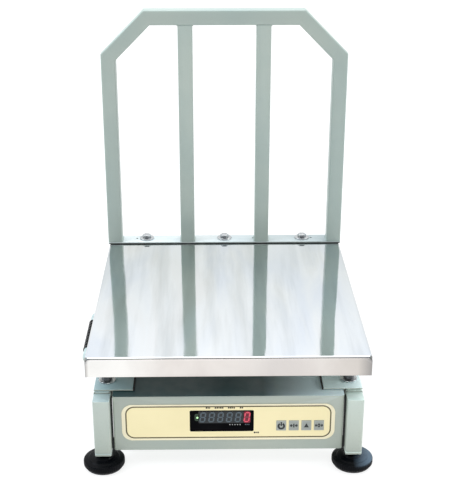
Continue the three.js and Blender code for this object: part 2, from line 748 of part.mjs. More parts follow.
function platform() {
  const group = new THREE.Group();
  const beamHalf = SPIDER.halfWidth - TUBE.side - GAP;
  group.add(
    named("pan", pan(), STAINLESS),
    named("spider_front_tube", spiderEnd(-1), PAINT),
    named("spider_rear_tube", spiderEnd(1), PAINT),
    named("spider_cell_beam", cellBeam(1, beamHalf, spiderBottom, false), PAINT),
    named("cell_spacer_upper", cellSpacer(1, upperSpacerBottom), STEEL),
    named("cell_bolt_live_inner", liveCellBolt(CELL_BOLT_Y.near), STEEL),
    named("cell_bolt_live_outer", liveCellBolt(CELL_BOLT_Y.far), STEEL),
    named("guard_strip", guardStrip(), PAINT),
    named("guard_hoop", guardHoop(), PAINT),
  );
  for (const side of SIDES) {
    group.add(named(`spider_rail_${side.name}`, spiderRail(side.x), PAINT));
    group.add(named(`guard_bar_${side.name}`, guardBar(side.x), PAINT));
  }
  for (const screw of GUARD_SCREWS) {
    group.add(named(`guard_screw_${screw.name}`, guardScrew(screw.x), STEEL));
  }
  return group;
}

function base() {
  const group = new THREE.Group();
  group.add(
    named("base_rear_tube", baseRearTube(), PAINT),
    named("base_cell_beam", cellBeam(-1, legInner - GAP, frameBottom, true), PAINT),
    named("cell_spacer_lower", cellSpacer(-1, spacerBottom), STEEL),
    named("cell_bolt_fixed_inner", fixedCellBolt(-CELL_BOLT_Y.near), STEEL),
    named("cell_bolt_fixed_outer", fixedCellBolt(-CELL_BOLT_Y.far), STEEL),
    named("load_cell", loadCell(), ALUMINIUM),
    named("load_cell_cable", loadCellCable(), RUBBER),
  );
  for (const side of SIDES) {
    group.add(named(`base_rail_${side.name}`, baseRail(side.x), PAINT));
    group.add(named(`handle_${side.name}`, handle(side.x), BLACK_PLASTIC));
  }
  for (const corner of CORNERS) {
    group.add(named(`leg_${corner.name}`, leg(corner), PAINT));
    group.add(named(`corner_plate_${corner.name}`, cornerPlate(corner), PAINT));
    group.add(named(`stop_bolt_${corner.name}`, stopBolt(corner), DARK_STEEL));
  }
  return group;
}

function levellingFoot(corner) {
  const group = new THREE.Group();
  group.add(named(`foot_sole_${corner.name}`, footSole(), RUBBER));
  group.add(named(`foot_knob_${corner.name}`, footKnob(), BLACK_PLASTIC));
  group.position.set(corner.x * legX, corner.y * legY, 0);
  return group;
}

function indicator() {
  const group = new THREE.Group();
  group.add(
    named("indicator_housing", indicatorHousing(), PAINT),
    named("indicator_rear_cover", rearCover(), PAINT),
    named("panel_overlay", panelOverlay(), CREAM),
    named("display_window", displayWindow(), SMOKED),
    named("display_module", displayModule(), BLACK_PLASTIC),
    named("main_board", mainBoard(), BOARD_GREEN),
    named("battery", battery(), BLACK_PLASTIC),
    named("charging_socket", chargingSocket(), BLACK_PLASTIC),
    named("cable_gland", cableGland(), BLACK_PLASTIC),
  );
  KEY_NAMES.forEach((name, i) => group.add(named(`key_${name}`, key(i), GREY_KEY)));
  return group;
}

const scale = new THREE.Group();
scale.add(platform(), base(), ...CORNERS.map(levellingFoot), indicator());

export default scale;
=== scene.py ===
import json
import math
from types import SimpleNamespace

import bmesh
import bpy
from mathutils import Matrix, Vector, noise

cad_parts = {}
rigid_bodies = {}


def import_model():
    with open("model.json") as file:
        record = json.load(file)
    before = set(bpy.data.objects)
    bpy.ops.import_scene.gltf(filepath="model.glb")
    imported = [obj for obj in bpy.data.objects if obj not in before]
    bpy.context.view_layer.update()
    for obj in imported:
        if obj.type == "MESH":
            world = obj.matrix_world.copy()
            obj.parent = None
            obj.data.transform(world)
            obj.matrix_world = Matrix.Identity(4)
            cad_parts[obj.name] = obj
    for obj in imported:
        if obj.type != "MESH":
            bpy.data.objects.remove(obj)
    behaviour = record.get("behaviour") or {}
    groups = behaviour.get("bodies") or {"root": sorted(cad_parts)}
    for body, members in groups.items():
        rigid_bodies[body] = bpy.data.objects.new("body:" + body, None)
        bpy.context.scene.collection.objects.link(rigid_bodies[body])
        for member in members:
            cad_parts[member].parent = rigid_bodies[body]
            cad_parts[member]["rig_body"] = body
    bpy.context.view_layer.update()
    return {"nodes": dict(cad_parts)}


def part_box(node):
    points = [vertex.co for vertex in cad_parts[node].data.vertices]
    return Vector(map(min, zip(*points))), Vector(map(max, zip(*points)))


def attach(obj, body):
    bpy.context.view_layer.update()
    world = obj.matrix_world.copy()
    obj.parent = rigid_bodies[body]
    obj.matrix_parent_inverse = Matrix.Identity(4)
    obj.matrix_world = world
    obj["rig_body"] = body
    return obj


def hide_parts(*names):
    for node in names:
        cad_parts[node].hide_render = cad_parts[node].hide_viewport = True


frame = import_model()

# Looks for the animal weighing scale. Metres, X right, Y to the back, Z up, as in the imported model.

MM = 0.001
CORNERS = ("front_left", "front_right", "rear_left", "rear_right")
SIDES = {"left": -1, "right": 1}
KEYS = ("power", "tare", "up", "zero")


def metres(**millimetres):
    """Named sizes, given in millimetres and kept in metres."""
    return SimpleNamespace(**{name: value * MM for name, value in millimetres.items()})


def new_object(name, data):
    """A new object in the scene."""
    thing = bpy.data.objects.new(name, data)
    bpy.context.scene.collection.objects.link(thing)
    return thing


def new_mesh(name, bm, finish):
    """A mesh in one finish from a bmesh, which is used up."""
    mesh = bpy.data.meshes.new(name)
    bm.to_mesh(mesh)
    bm.free()
    mesh.materials.append(finish)
    return mesh


# ---------- camera, stage and light ----------

CAMERA = SimpleNamespace(place=(-0.0242, -1.5352, 0.8894), pitch=22.52, yaw=0.80, lens=77.0, sensor=36.0)


def make_camera():
    data = bpy.data.cameras.new("camera")
    data.sensor_fit = "VERTICAL"
    data.sensor_height = CAMERA.sensor
    data.lens = CAMERA.lens
    camera = new_object("camera", data)
    camera.location = CAMERA.place
    camera.rotation_euler = (math.radians(90 - CAMERA.pitch), 0, -math.radians(CAMERA.yaw))
    bpy.context.scene.camera = camera


def area_light(name, place, target, size, power, color):
    data = bpy.data.lights.new(name, "AREA")
    data.shape = "RECTANGLE"
    data.size, data.size_y = size
    data.energy = power
    data.color = color
    light = new_object(name, data)
    light.location = place
    light.rotation_euler = (Vector(target) - Vector(place)).to_track_quat("-Z", "Y").to_euler()


WHITE = (1, 1, 1)
SKY = {
    "strength": 2.3,
    "front": ((0, (0.11, 0.115, 0.12)), (0.45, (0.13, 0.135, 0.14)), (0.7, (0.30, 0.31, 0.32)), (1, WHITE)),
    "back": ((0, (0.40, 0.41, 0.412)), (0.45, (0.42, 0.43, 0.435)), (0.75, (0.6, 0.61, 0.62)), (1, WHITE)),
}


class Nodes:
    """Short ways to add shader nodes to a tree."""

    def __init__(self, tree):
        self.tree = tree

    def node(self, kind, inputs, **settings):
        """The outputs of a new node. Each of its inputs is a socket to link or a value to set."""
        node = self.tree.nodes.new(kind)
        for name, value in settings.items():
            setattr(node, name, value)
        for name, value in inputs.items():
            if isinstance(value, bpy.types.NodeSocket):
                self.tree.links.new(value, node.inputs[name])
            else:
                node.inputs[name].default_value = value
        return node.outputs

    def ramp(self, value, *stops):
        """value mapped to a colour by stops of (position, colour)."""
        ramp = self.tree.nodes.new("ShaderNodeValToRGB")
        elements = ramp.color_ramp.elements
        for _ in stops[2:]:
            elements.new(0.5)
        for element, (position, color) in zip(elements, stops):
            element.position = position
            element.color = (*color, 1)
        self.tree.links.new(value, ramp.inputs[0])
        return ramp.outputs["Color"]

    def mapped(self, value, start, end, low=0.0, high=1.0):
        """value mapped so that start gives low and end gives high, and held beyond them."""
        inputs = {"Value": value, "From Min": start, "From Max": end, "To Min": low, "To Max": high}
        return self.node("ShaderNodeMapRange", inputs)["Result"]

    def part(self, vector, axis):
        return self.node("ShaderNodeSeparateXYZ", {0: vector})[axis]

    def mix(self, share, first, second, blend="MIX"):
        """Two colours, each a socket or a value, blended by a share that is also either of these."""
        first, second = (c if isinstance(c, bpy.types.NodeSocket) else (*c, 1) for c in (first, second))
        inputs = {0: share, 6: first, 7: second}
        return self.node("ShaderNodeMix", inputs, data_type="RGBA", blend_type=blend)[2]

    def times(self, first, second):
        return self.mix(1.0, first, second, "MULTIPLY")


def make_world():
    """A studio that is bright overhead and behind the scale, and dark low down in front of it."""
    world = bpy.data.worlds.new("studio")
    world.use_nodes = True
    tree = world.node_tree
    nodes = Nodes(tree)
    place = nodes.node("ShaderNodeTexCoord", {})["Generated"]
    height = nodes.part(place, "Z")
    backward = nodes.mapped(nodes.part(place, "Y"), -0.5, 0.5)
    sky = nodes.mix(backward, nodes.ramp(height, *SKY["front"]), nodes.ramp(height, *SKY["back"]))
    background = tree.nodes["Background"]
    tree.links.new(sky, background.inputs["Color"])
    background.inputs["Strength"].default_value = SKY["strength"]
    bpy.context.scene.world = world


def make_stage(finish):
    bm = bmesh.new()
    bmesh.ops.create_grid(bm, x_segments=1, y_segments=1, size=15)
    floor = new_object("floor", new_mesh("floor", bm, finish))


# ---------- materials ----------

class Finish(Nodes):
    """A procedural material, built in the coordinates of its own object."""

    def __init__(self, name, metallic=0.0, roughness=0.5, **sockets):
        self.material = bpy.data.materials.new(name)
        self.material.use_nodes = True
        super().__init__(self.material.node_tree)
        self.shader = self.tree.nodes["Principled BSDF"]
        self.place = self.node("ShaderNodeTexCoord", {})["Object"]
        self.bumps = {}
        for socket, value in {"Metallic": metallic, "Roughness": roughness, **sockets}.items():
            self.shader.inputs[socket.replace("_", " ")].default_value = value

    def noise(self, scale, detail=2.0, stretch=(1, 1, 1), distortion=0.0):
        place = self.node("ShaderNodeMapping", {"Vector": self.place, "Scale": stretch})["Vector"]
        inputs = {"Vector": place, "Scale": scale, "Detail": detail, "Distortion": distortion}
        return self.node("ShaderNodeTexNoise", inputs)["Fac"]

    def edges(self, low, high):
        """About 1 on worn, outward edges and 0 elsewhere."""
        return self.mapped(self.node("ShaderNodeNewGeometry", {})["Pointiness"], low, high)

    def facing_up(self):
        """1 where the surface faces straight up, 0 where it is upright."""
        return self.part(self.node("ShaderNodeNewGeometry", {})["Normal"], "Z")

    def across(self, start, end, axis="X"):
        """0 where the object's x (or y) is at start, 1 where it is at end."""
        return self.mapped(self.part(self.place, axis), start, end)

    def feed(self, socket, value):
        self.tree.links.new(value, self.shader.inputs[socket])
        return self

    def color(self, value):
        return self.feed("Base Color", value)

    def rough(self, value, low, high):
        """Roughness from low to high as value goes from 0.3 to 0.7."""
        return self.feed("Roughness", self.mapped(value, 0.3, 0.7, low, high))

    def bump(self, height, strength, distance):
        """Adds a bump on top of the bumps before it."""
        inputs = {"Height": height, "Strength": strength, "Distance": distance, **self.bumps}
        self.bumps = {"Normal": self.node("ShaderNodeBump", inputs)["Normal"]}
        return self.feed("Normal", self.bumps["Normal"])


# Of each paint: its tone, the painted light and shade on faces that look up, as factors on the colour
# at the left and at the right, and the x of these two places.
PAINTS = {
    "base": ((0.90, 0.90, 0.875), (1.35, 1.52, 1.75), (2.1, 2.25, 2.4), (-0.12, 0.12)),
    "plate": ((0.87, 0.87, 0.845), (1.1, 1.35, 1.6), (2.6, 2.8, 3.2), (-0.12, 0.12)),
    # Painted shade on the box's tops at the left, under the pan, and painted light at their right end.
    "box": ((0.87, 0.87, 0.845), (0.08, 0.2, 0.25), (2.4, 2.6, 3.1), (0.05, 0.15)),
    # Painted shade: the guard's tone is darker than the base paint's.
    "guard": ((0.77, 0.81, 0.81), (1.5, 1.55, 1.6), (1.5, 1.55, 1.6), (-0.2, 0.2)),
    "strip": ((0.92, 0.93, 0.94), (2.12, 2.04, 2.26), (1.12, 1.14, 1.27), (-0.2, 0.2)),
}


def paint(kind):
    """Pale grey-green enamel with orange peel, slight unevenness and rubbed edges, and painted light and
    shade on faces that look up.
    """
    tone, left, right, span = PAINTS[kind]
    finish = Finish(f"{kind}_paint", roughness=0.4, Coat_Weight=0.15, Coat_Roughness=0.25)
    drift = finish.ramp(finish.noise(7, 3), (0.35, (0.395, 0.458, 0.425)), (0.65, (0.445, 0.492, 0.445)))
    specks = finish.ramp(finish.noise(420, 2), (0.60, WHITE), (0.74, (0.80, 0.82, 0.80)))
    body = finish.mix(0.35, finish.times(drift, tone), specks, "MULTIPLY")
    worn = finish.mix(finish.edges(0.53, 0.62), body, finish.times(body, (1.12, 1.12, 1.12)))
    # Painted light and shade: faces that look up are lightened or darkened, by one factor at the left and
    # another at the right.
    upper = finish.mix(finish.across(*span), left, right)
    finish.color(finish.mix(finish.facing_up(), worn, finish.times(worn, upper)))
    finish.rough(finish.noise(60, 3), 0.36, 0.50)
    finish.bump(finish.noise(650, 2), 0.12, 0.0004)
    return finish.bump(finish.noise(55, 2), 0.10, 0.001).material


# Painted reflection: a dark line where the sheet bends from the top into the skirts.
PAINTED_BEND_REFLECTION = ((0.06, WHITE), (0.2, (0.22, 0.22, 0.22)), (0.42, (0.22, 0.22, 0.22)), (0.6, WHITE))


def stainless():
    """Mirror-polished sheet with soft waves, a faint grain along its depth and hazy wiping marks, with
    painted reflections and shade: a darker rear, toned skirts and a dark line at the bends.
    """
    finish = Finish("polished_stainless", metallic=1.0, roughness=0.05)
    haze = finish.noise(9, 4, (1.6, 0.35, 1), 0.6)
    haze_tones = ((0.34, (0.81, 0.845, 0.885)), (0.5, (0.89, 0.905, 0.90)), (0.66, (0.87, 0.865, 0.84)))
    # Painted shade: the top's colour is darker towards the rear.
    rear = finish.mix(finish.across(-0.14, 0.12, "Y"), (1.02, 1.03, 1.06), (0.85, 0.865, 0.86))
    top = finish.times(finish.ramp(haze, *haze_tones), rear)
    streaks = finish.ramp(finish.noise(20, 4, (1.8, 0.14, 1)), (0.3, (0.74, 0.75, 0.74)), (0.58, WHITE))
    # Painted reflection: the skirts' colour along their length, warm, darker towards the right and dark at
    # the corners.
    along = finish.ramp(
        finish.across(-0.2, 0.2),
        (0.0, (0.40, 0.39, 0.38)),
        (0.012, (0.87, 0.86, 0.83)),
        (0.1, (0.87, 0.86, 0.83)),
        (0.3, (0.735, 0.69, 0.655)),
        (0.52, (0.75, 0.71, 0.675)),
        (0.66, (0.67, 0.635, 0.61)),
        (0.77, (0.70, 0.66, 0.63)),
        (0.95, (0.63, 0.59, 0.55)),
        (1.0, (0.34, 0.33, 0.32)),
    )
    side = finish.times(along, finish.ramp(haze, (0.35, (0.90, 0.89, 0.89)), (0.65, WHITE)))
    sheet = finish.mix(finish.facing_up(), side, finish.mix(0.85, top, streaks, "MULTIPLY"))
    finish.color(finish.times(sheet, finish.ramp(finish.facing_up(), *PAINTED_BEND_REFLECTION)))
    finish.rough(finish.noise(14, 4, (2.2, 0.3, 1)), 0.02, 0.08)
    finish.bump(finish.noise(260, 2, (1, 0.02, 1)), 0.03, 0.0003)
    return finish.bump(finish.noise(11, 1, (1, 0.6, 1)), 0.10, 0.004).material


def zinc():
    finish = Finish("zinc_plate", metallic=1.0, roughness=0.3)
    finish.color(finish.ramp(finish.noise(180, 3), (0.3, (0.46, 0.48, 0.51)), (0.7, (0.64, 0.65, 0.64))))
    finish.rough(finish.noise(320, 2), 0.2, 0.42)
    return finish.bump(finish.noise(900, 2), 0.15, 0.0002).material


def dark_steel():
    finish = Finish("blackened_steel", metallic=0.4, roughness=0.4, Specular_IOR_Level=0.3)
    worn = finish.mix(finish.edges(0.56, 0.68), (0.012, 0.014, 0.016), (0.16, 0.17, 0.18))
    finish.color(worn).rough(finish.noise(260, 3), 0.28, 0.5)
    return finish.bump(finish.noise(800, 2), 0.2, 0.0002).material


def aluminium():
    finish = Finish("machined_aluminium", metallic=1.0, roughness=0.35)
    lines = finish.noise(700, 2, (1, 0.04, 1))
    finish.color(finish.ramp(lines, (0.3, (0.66, 0.67, 0.69)), (0.7, (0.80, 0.81, 0.82))))
    finish.rough(lines, 0.26, 0.42)
    return finish.bump(lines, 0.2, 0.0002).material


def black_plastic():
    """Black moulding with worn edges and a painted pale blue highlight on the top of its right-hand outer
    side.
    """
    finish = Finish("black_plastic", roughness=0.3, Specular_IOR_Level=0.07)
    worn = finish.mix(finish.edges(0.54, 0.64), (0.0015, 0.002, 0.003), (0.010, 0.012, 0.016))
    dust = finish.ramp(finish.noise(90, 4), (0.5, WHITE), (0.75, (1.5, 1.5, 1.6)))
    body = finish.mix(0.5, worn, dust, "MULTIPLY")
    # Painted highlight: a pale blue sheen on faces that look up at the right-hand outer side.
    painted_highlight = finish.mix(finish.across(0.180, 0.206), body, (0.12, 0.175, 0.235))
    finish.color(finish.mix(finish.facing_up(), body, painted_highlight))
    finish.rough(finish.noise(140, 3), 0.22, 0.38)
    return finish.bump(finish.noise(1100, 2), 0.2, 0.0002).material


def rubber():
    finish = Finish("black_rubber", roughness=0.75)
    tones = ((0.3, (0.014, 0.014, 0.015)), (0.75, (0.04, 0.04, 0.042)))
    finish.color(finish.ramp(finish.noise(120, 4), *tones))
    finish.rough(finish.noise(200, 2), 0.65, 0.85)
    return finish.bump(finish.noise(1300, 2), 0.35, 0.0002).material


# Printed and moulded films: the lighter tone, the darker tone and the roughness.
FILMS = {
    "brown_ink": ((0.115, 0.095, 0.04), (0.07, 0.06, 0.025), 0.42),
    "caption_ink": ((0.04, 0.035, 0.02), (0.025, 0.02, 0.012), 0.42),
    "pale_border": ((0.87, 0.80, 0.58), (0.84, 0.77, 0.55), 0.42),
    "cream_field": ((0.87, 0.775, 0.467), (0.84, 0.745, 0.44), 0.42),
    "blue_tint": ((0.002, 0.006, 0.011), (0.001, 0.004, 0.007), 0.3),
    "dim_red": ((0.16, 0.012, 0.03), (0.11, 0.008, 0.02), 0.3),
    "unlit_segments": ((0.078, 0.110, 0.135), (0.058, 0.085, 0.105), 0.3),
    "flag_print": ((0.45, 0.46, 0.45), (0.32, 0.33, 0.33), 0.3),
    "key_grey": ((0.325, 0.35, 0.325), (0.285, 0.31, 0.285), 0.45),
    "key_rim_grey": ((0.38, 0.41, 0.39), (0.34, 0.37, 0.35), 0.45),
    "key_ink": ((0.010, 0.015, 0.017), (0.006, 0.009, 0.010), 0.42),
    "battery_case": ((0.05, 0.052, 0.055), (0.03, 0.031, 0.033), 0.5),
}


def film(name):
    """A film with a fine velvet texture and slightly uneven ink."""
    light, dark, roughness = FILMS[name]
    finish = Finish(name, roughness=roughness)
    finish.color(finish.ramp(finish.noise(26, 3), (0.3, dark), (0.7, light)))
    finish.rough(finish.noise(90, 2), roughness - 0.06, roughness + 0.08)
    return finish.bump(finish.noise(2600, 1), 0.08, 0.0001).material


def smoked_acrylic():
    finish = Finish("smoked_acrylic", roughness=0.06, Specular_IOR_Level=0.03)
    tones = ((0.3, (0.001, 0.001, 0.002)), (0.7, (0.003, 0.003, 0.004)))
    finish.color(finish.ramp(finish.noise(40, 3), *tones))
    finish.rough(finish.noise(70, 4), 0.04, 0.12)
    return finish.bump(finish.noise(30, 1), 0.03, 0.0005).material


# Prints that glow: the colour and the strength. The two faint tints are painted glow, standing in for the
# light of the lit digit and the pilot light spilling into the window.
GLOWS = {
    "red_painted_glow": ((0.10, 0.0005, 0.012), 0.6),
    "green_painted_glow": ((0.003, 0.018, 0.005), 0.6),
    "lit_segments": ((0.62, 0.055, 0.095), 0.25),
    "green_pilot": ((0.50, 0.95, 0.45), 0.55),
}


def glowing(name):
    """A glowing print, its colour a little uneven."""
    color, strength = GLOWS[name]
    finish = Finish(name, roughness=0.25, Emission_Strength=strength)
    hue = finish.ramp(finish.noise(700, 2), (0.3, tuple(0.82 * c for c in color)), (0.7, color))
    return finish.color(hue).feed("Emission Color", hue).material


def circuit_board():
    finish = Finish("solder_mask", roughness=0.35)
    tracks = finish.noise(240, 0)
    finish.color(finish.ramp(tracks, (0.48, (0.010, 0.075, 0.030)), (0.53, (0.020, 0.13, 0.055))))
    return finish.bump(tracks, 0.2, 0.0001).material


def pale_floor():
    """A softly lit sweep, as on a light table, so that the scale's shadow stays faint."""
    finish = Finish("pale_floor", roughness=0.65, Emission_Strength=0.78)
    tone = finish.ramp(finish.noise(3, 4), (0.3, (0.97, 0.975, 0.98)), (0.7, WHITE))
    finish.color(finish.times(tone, (0.28, 0.28, 0.28))).feed("Emission Color", tone)
    return finish.bump(finish.noise(300, 2), 0.02, 0.0005).material


# ---------- meshes ----------

def add_piece(name, bm, finish, body, replaces=(), sharp=38):
    """Makes the bmesh a visible piece that rides on a body, shaded smooth up to a sharp angle."""
    bmesh.ops.recalc_face_normals(bm, faces=bm.faces)
    mesh = new_mesh(name, bm, finish)
    mesh.shade_smooth()
    mesh.set_sharp_from_angle(angle=math.radians(sharp))
    piece = new_object(name, mesh)
    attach(piece, body)
    if replaces:
        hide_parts(*replaces)
    return piece


def bridge(bm, loops, closed=False):
    """Skins consecutive loops of as many points each, with caps or, if closed, joined end to end."""
    rings = [[bm.verts.new(point) for point in loop] for loop in loops]
    pairs = list(zip(rings, rings[1:])) + ([(rings[-1], rings[0])] if closed else [])
    for first, second in pairs:
        for i in range(len(first)):
            j = (i + 1) % len(first)
            bm.faces.new((first[i], first[j], second[j], second[i]))
    if not closed:
        bm.faces.new(rings[0])
        bm.faces.new(rings[-1])


def prism(bm, outline, bottom, top):
    """An upright block on a closed outline of (x, y) points."""
    bridge(bm, [[(x, y, z) for x, y in outline] for z in (bottom, top)])


def arc(centre_u, centre_v, radius, start, end, steps):
    """Points on an arc, angles in degrees."""
    angles = [math.radians(start + (end - start) * i / steps) for i in range(steps + 1)]
    return [(centre_u + radius * math.cos(a), centre_v + radius * math.sin(a)) for a in angles]


def rounded(u, v, width, height, radius, steps=4):
    """A closed outline about (u, v), counter-clockwise."""
    du = width / 2 - radius
    dv = height / 2 - radius
    corners = ((du, dv, 0), (-du, dv, 90), (-du, -dv, 180), (du, -dv, 270))
    return [p for cu, cv, a in corners for p in arc(u + cu, v + cv, radius, a, a + 90, steps)]


def circle(place, axis, height, radius, sides):
    """Points round an axis (0, 1 or 2) through place, starting on the next axis."""
    points = []
    for i in range(sides):
        angle = 2 * math.pi * i / sides
        point = list(place)
        point[axis] += height
        point[(axis + 1) % 3] += radius * math.cos(angle)
        point[(axis + 2) % 3] += radius * math.sin(angle)
        points.append(point)
    return points


def turned(bm, outline, place, sides=48, axis=2):
    """Turns an outline of (radius, height) points about an axis through place, with flat ends."""
    bridge(bm, [circle(place, axis, height, radius, sides) for radius, height in outline])


def rounded_profile(radius, bottom, top, edge, steps=3):
    """The outline of a disc with rounded rims."""
    lower = arc(radius - edge, bottom + edge, edge, -90, 0, steps)
    upper = arc(radius - edge, top - edge, edge, 0, 90, steps)
    return [*lower, *upper]


HEXAGON = {"face": 0.883, "drop": 0.054}


def hexagon(bm, place, radius, bottom, top, axis=2):
    """A hexagon head or nut, its chamfers sized as shares of its radius."""
    face, drop = HEXAGON["face"] * radius, HEXAGON["drop"] * radius
    outline = [(face, bottom), (radius, bottom + drop), (radius, top - drop), (face, top)]
    turned(bm, outline, place, 6, axis)


def thread(bm, place, radius, bottom, top, pitch=1.5 * MM, sides=24):
    """A threaded shank, its thread drawn as close rings."""
    depth = 0.55 * pitch
    turns = max(1, round((top - bottom) / pitch))
    outline = [(radius - depth, bottom)]
    for i in range(turns):
        start = bottom + (top - bottom) * i / turns
        outline += [(radius, start + 0.5 * pitch), (radius - depth, start + 0.95 * pitch)]
    turned(bm, outline, place, sides)


def sweep(bm, path, radius_at, sides=20):
    """A round bar along a list of points, with a radius for each point's number."""
    loops = []
    for i, point in enumerate(path):
        ahead = Vector(path[min(i + 1, len(path) - 1)]) - Vector(path[max(i - 1, 0)])
        turn = ahead.to_track_quat("Z", "Y").to_matrix()
        section = circle((0, 0, 0), 2, 0, radius_at(i), sides)
        loops.append([Vector(point) + turn @ Vector(offset) for offset in section])
    bridge(bm, loops)


def flat_print(name, outlines, front, thickness, finish, body, slot, replaces=(), round_edge=0.0):
    """A thin plate that faces the front, from closed outlines of (x, z). One inside another is a hole."""
    curve = bpy.data.curves.new(name, "CURVE")
    curve.dimensions = "2D"
    curve.fill_mode = "BOTH"
    curve.extrude = thickness / 2 - round_edge
    curve.bevel_depth = round_edge
    curve.bevel_resolution = 1
    for outline in outlines:
        spline = curve.splines.new("POLY")
        spline.points.add(len(outline) - 1)
        spline.use_cyclic_u = True
        for point, (x, z) in zip(spline.points, outline):
            point.co = (x, z, 0, 1)
    drawn = new_object(name, curve)
    bpy.context.view_layer.update()
    shape = bpy.data.meshes.new_from_object(drawn.evaluated_get(bpy.context.evaluated_depsgraph_get()))
    bpy.data.objects.remove(drawn)
    bpy.data.curves.remove(curve)
    bm = bmesh.new()
    bm.from_mesh(shape)
    bpy.data.meshes.remove(shape)
    bmesh.ops.remove_doubles(bm, verts=bm.verts, dist=1e-6)
    stand = Matrix.Translation((0, front + thickness / 2, 0)) @ Matrix.Rotation(math.pi / 2, 4, "X")
    bmesh.ops.transform(bm, matrix=stand, verts=bm.verts)
    add_piece(name, bm, finish, body, replaces)


def copy_of(node):
    """The CAD node's shape as a bmesh without the triangulation of its flat faces."""
    bm = bmesh.new()
    bm.from_mesh(frame["nodes"][node].data)
    bmesh.ops.remove_doubles(bm, verts=bm.verts, dist=0.02 * MM)
    bmesh.ops.dissolve_limit(bm, angle_limit=math.radians(2), verts=bm.verts, edges=bm.edges)
    return bm


def home(node):
    """The body that a CAD node rides on."""
    return frame["nodes"][node]["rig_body"]


def centre(node):
    """The middle of a CAD node's box."""
    low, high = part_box(node)
    return [(a + b) / 2 for a, b in zip(low, high)]


def bevel(bm, edges, width, segments):
    options = {"segments": segments, "profile": 0.5, "affect": "EDGES", "clamp_overlap": True}
    bmesh.ops.bevel(bm, geom=edges, offset=width, **options)


def is_sharp(edge, shortest):
    return edge.is_manifold and edge.calc_length() > shortest and edge.calc_face_angle(0) > math.radians(50)


def softened(node, finish, width, segments=2, shortest=4 * MM, name=None):
    """A piece in the place of a CAD node: its shape with the long sharp edges rounded."""
    bm = copy_of(node)
    bevel(bm, [edge for edge in bm.edges if is_sharp(edge, shortest)], width, segments)
    add_piece(name or f"{node}_shell", bm, finish, home(node), [node])


def rolled_tube(node, finish, outer=2.4 * MM, inner=0.9 * MM):
    """A drawn tube in the place of a square CAD tube: its lengthwise edges rolled round."""
    bm = copy_of(node)
    low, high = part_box(node)
    size = [high[i] - low[i] for i in range(3)]
    axis = size.index(max(size))
    across = [(axis + 1) % 3, (axis + 2) % 3]

    def lengthwise(edge, outside):
        first, second = (v.co for v in edge.verts)
        slant = edge.calc_length() - abs(second[axis] - first[axis])
        if not is_sharp(edge, 60 * MM) or slant > 0.1 * MM:
            return False
        on_box = all(min(abs(first[i] - low[i]), abs(first[i] - high[i])) < 0.1 * MM for i in across)
        return on_box == outside

    bevel(bm, [edge for edge in bm.edges if lengthwise(edge, True)], outer, 4)
    bevel(bm, [edge for edge in bm.edges if lengthwise(edge, False)], inner, 2)
    add_piece(f"{node}_tube", bm, finish, home(node), [node])


# ---------- pan ----------

PAN = metres(bend=3, sheet=1.5, crown=0.85, open=0.6, cell=6, meet=0.4)
# Slow waves of the sheet: the height as a share of the crown, the turns across and along, and the phase.
WAVES = ((0.07, 5.2, 1.9, 0.0), (0.05, 9.1, -2.3, 1.0), (0.04, 2.2, 6.5, 0.0))


def sheet_lift(x, y, half_x, half_y):
    """How far the pan's sheet stands above flat: a shallow crown and slow waves that end at the strip."""
    u = x / half_x
    v = y / half_y
    calm = min(1.0, max(0.0, (0.86 - v) / 0.9))
    calm = calm * calm * (3 - 2 * calm)
    rim = (1 - u * u) * (1 - 0.75 * max(0.0, -v) ** 6)
    waves = sum(height * math.sin(a * u + b * v + phase) for height, a, b, phase in WAVES)
    return PAN.crown * (calm * rim * (1 + 0.5 * waves) + 0.12 * (1 - u * u) * (1 - v * v))


def steps_between(start, end, size):
    count = max(1, round((end - start) / size))
    return [start + (end - start) * i / count for i in range(count + 1)]


def make_pan(finish):
    """The folded sheet: a slightly uneven top, four bends and skirts, and corners open at the bends."""
    low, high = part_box("pan")
    half_x, half_y, top = high
    radius = PAN.bend - PAN.sheet / 2
    middle = top - PAN.sheet / 2

    def stations(flat):
        return [-flat, *steps_between(PAN.open - flat, flat - PAN.open, PAN.cell), flat]

    xs = stations(half_x - PAN.bend)
    ys = stations(half_y - PAN.bend)
    bm = bmesh.new()
    grid = [[bm.verts.new((x, y, middle + sheet_lift(x, y, half_x, half_y))) for y in ys] for x in xs]
    for i in range(len(xs) - 1):
        for j in range(len(ys) - 1):
            bm.faces.new((grid[i][j], grid[i + 1][j], grid[i + 1][j + 1], grid[i][j + 1]))
    bend = arc(0, -radius, radius, 90, 0, 6)[1:]
    skirt = [(radius, z) for z in steps_between(-2 * PAN.bend, low[2] - middle, -PAN.cell)]
    edges = (
        ([column[0] for column in grid[1:-1]], (0, -1)),
        ([column[-1] for column in grid[1:-1]], (0, 1)),
        (grid[0][1:-1], (-1, 0)),
        (grid[-1][1:-1], (1, 0)),
    )
    for line, (out_x, out_y) in edges:
        previous = line
        for out, drop in [*bend, *skirt]:
            row = [bm.verts.new((v.co.x + out_x * out, v.co.y + out_y * out, v.co.z + drop)) for v in line]
            if drop < -PAN.bend:
                stretch_ends(row, out_y, half_x, half_y)
            for k in range(len(row) - 1):
                bm.faces.new((previous[k], previous[k + 1], row[k + 1], row[k]))
            previous = row
    piece = add_piece("pan_sheet", bm, finish, home("pan"), ["pan"], sharp=60)
    thicken = piece.modifiers.new("sheet", "SOLIDIFY")
    thicken.thickness = PAN.sheet
    thicken.offset = 0
    thicken.use_even_offset = True
    rim = piece.modifiers.new("rim", "BEVEL")
    rim.width = 0.25 * MM
    rim.segments = 2
    rim.limit_method = "ANGLE"
    rim.angle_limit = math.radians(60)


def stretch_ends(row, out_y, half_x, half_y):
    """Draws a skirt row's ends out to the corners, where the front and rear skirts cover the side ones."""
    for vert in (row[0], row[-1]):
        if out_y:
            vert.co.x = math.copysign(half_x, vert.co.x)
        else:
            vert.co.y = math.copysign(half_y - PAN.sheet - PAN.meet, vert.co.y)


# ---------- guard ----------

GUARD = metres(tube=24, wall=1.5, radius=2.2, chamfer=71)


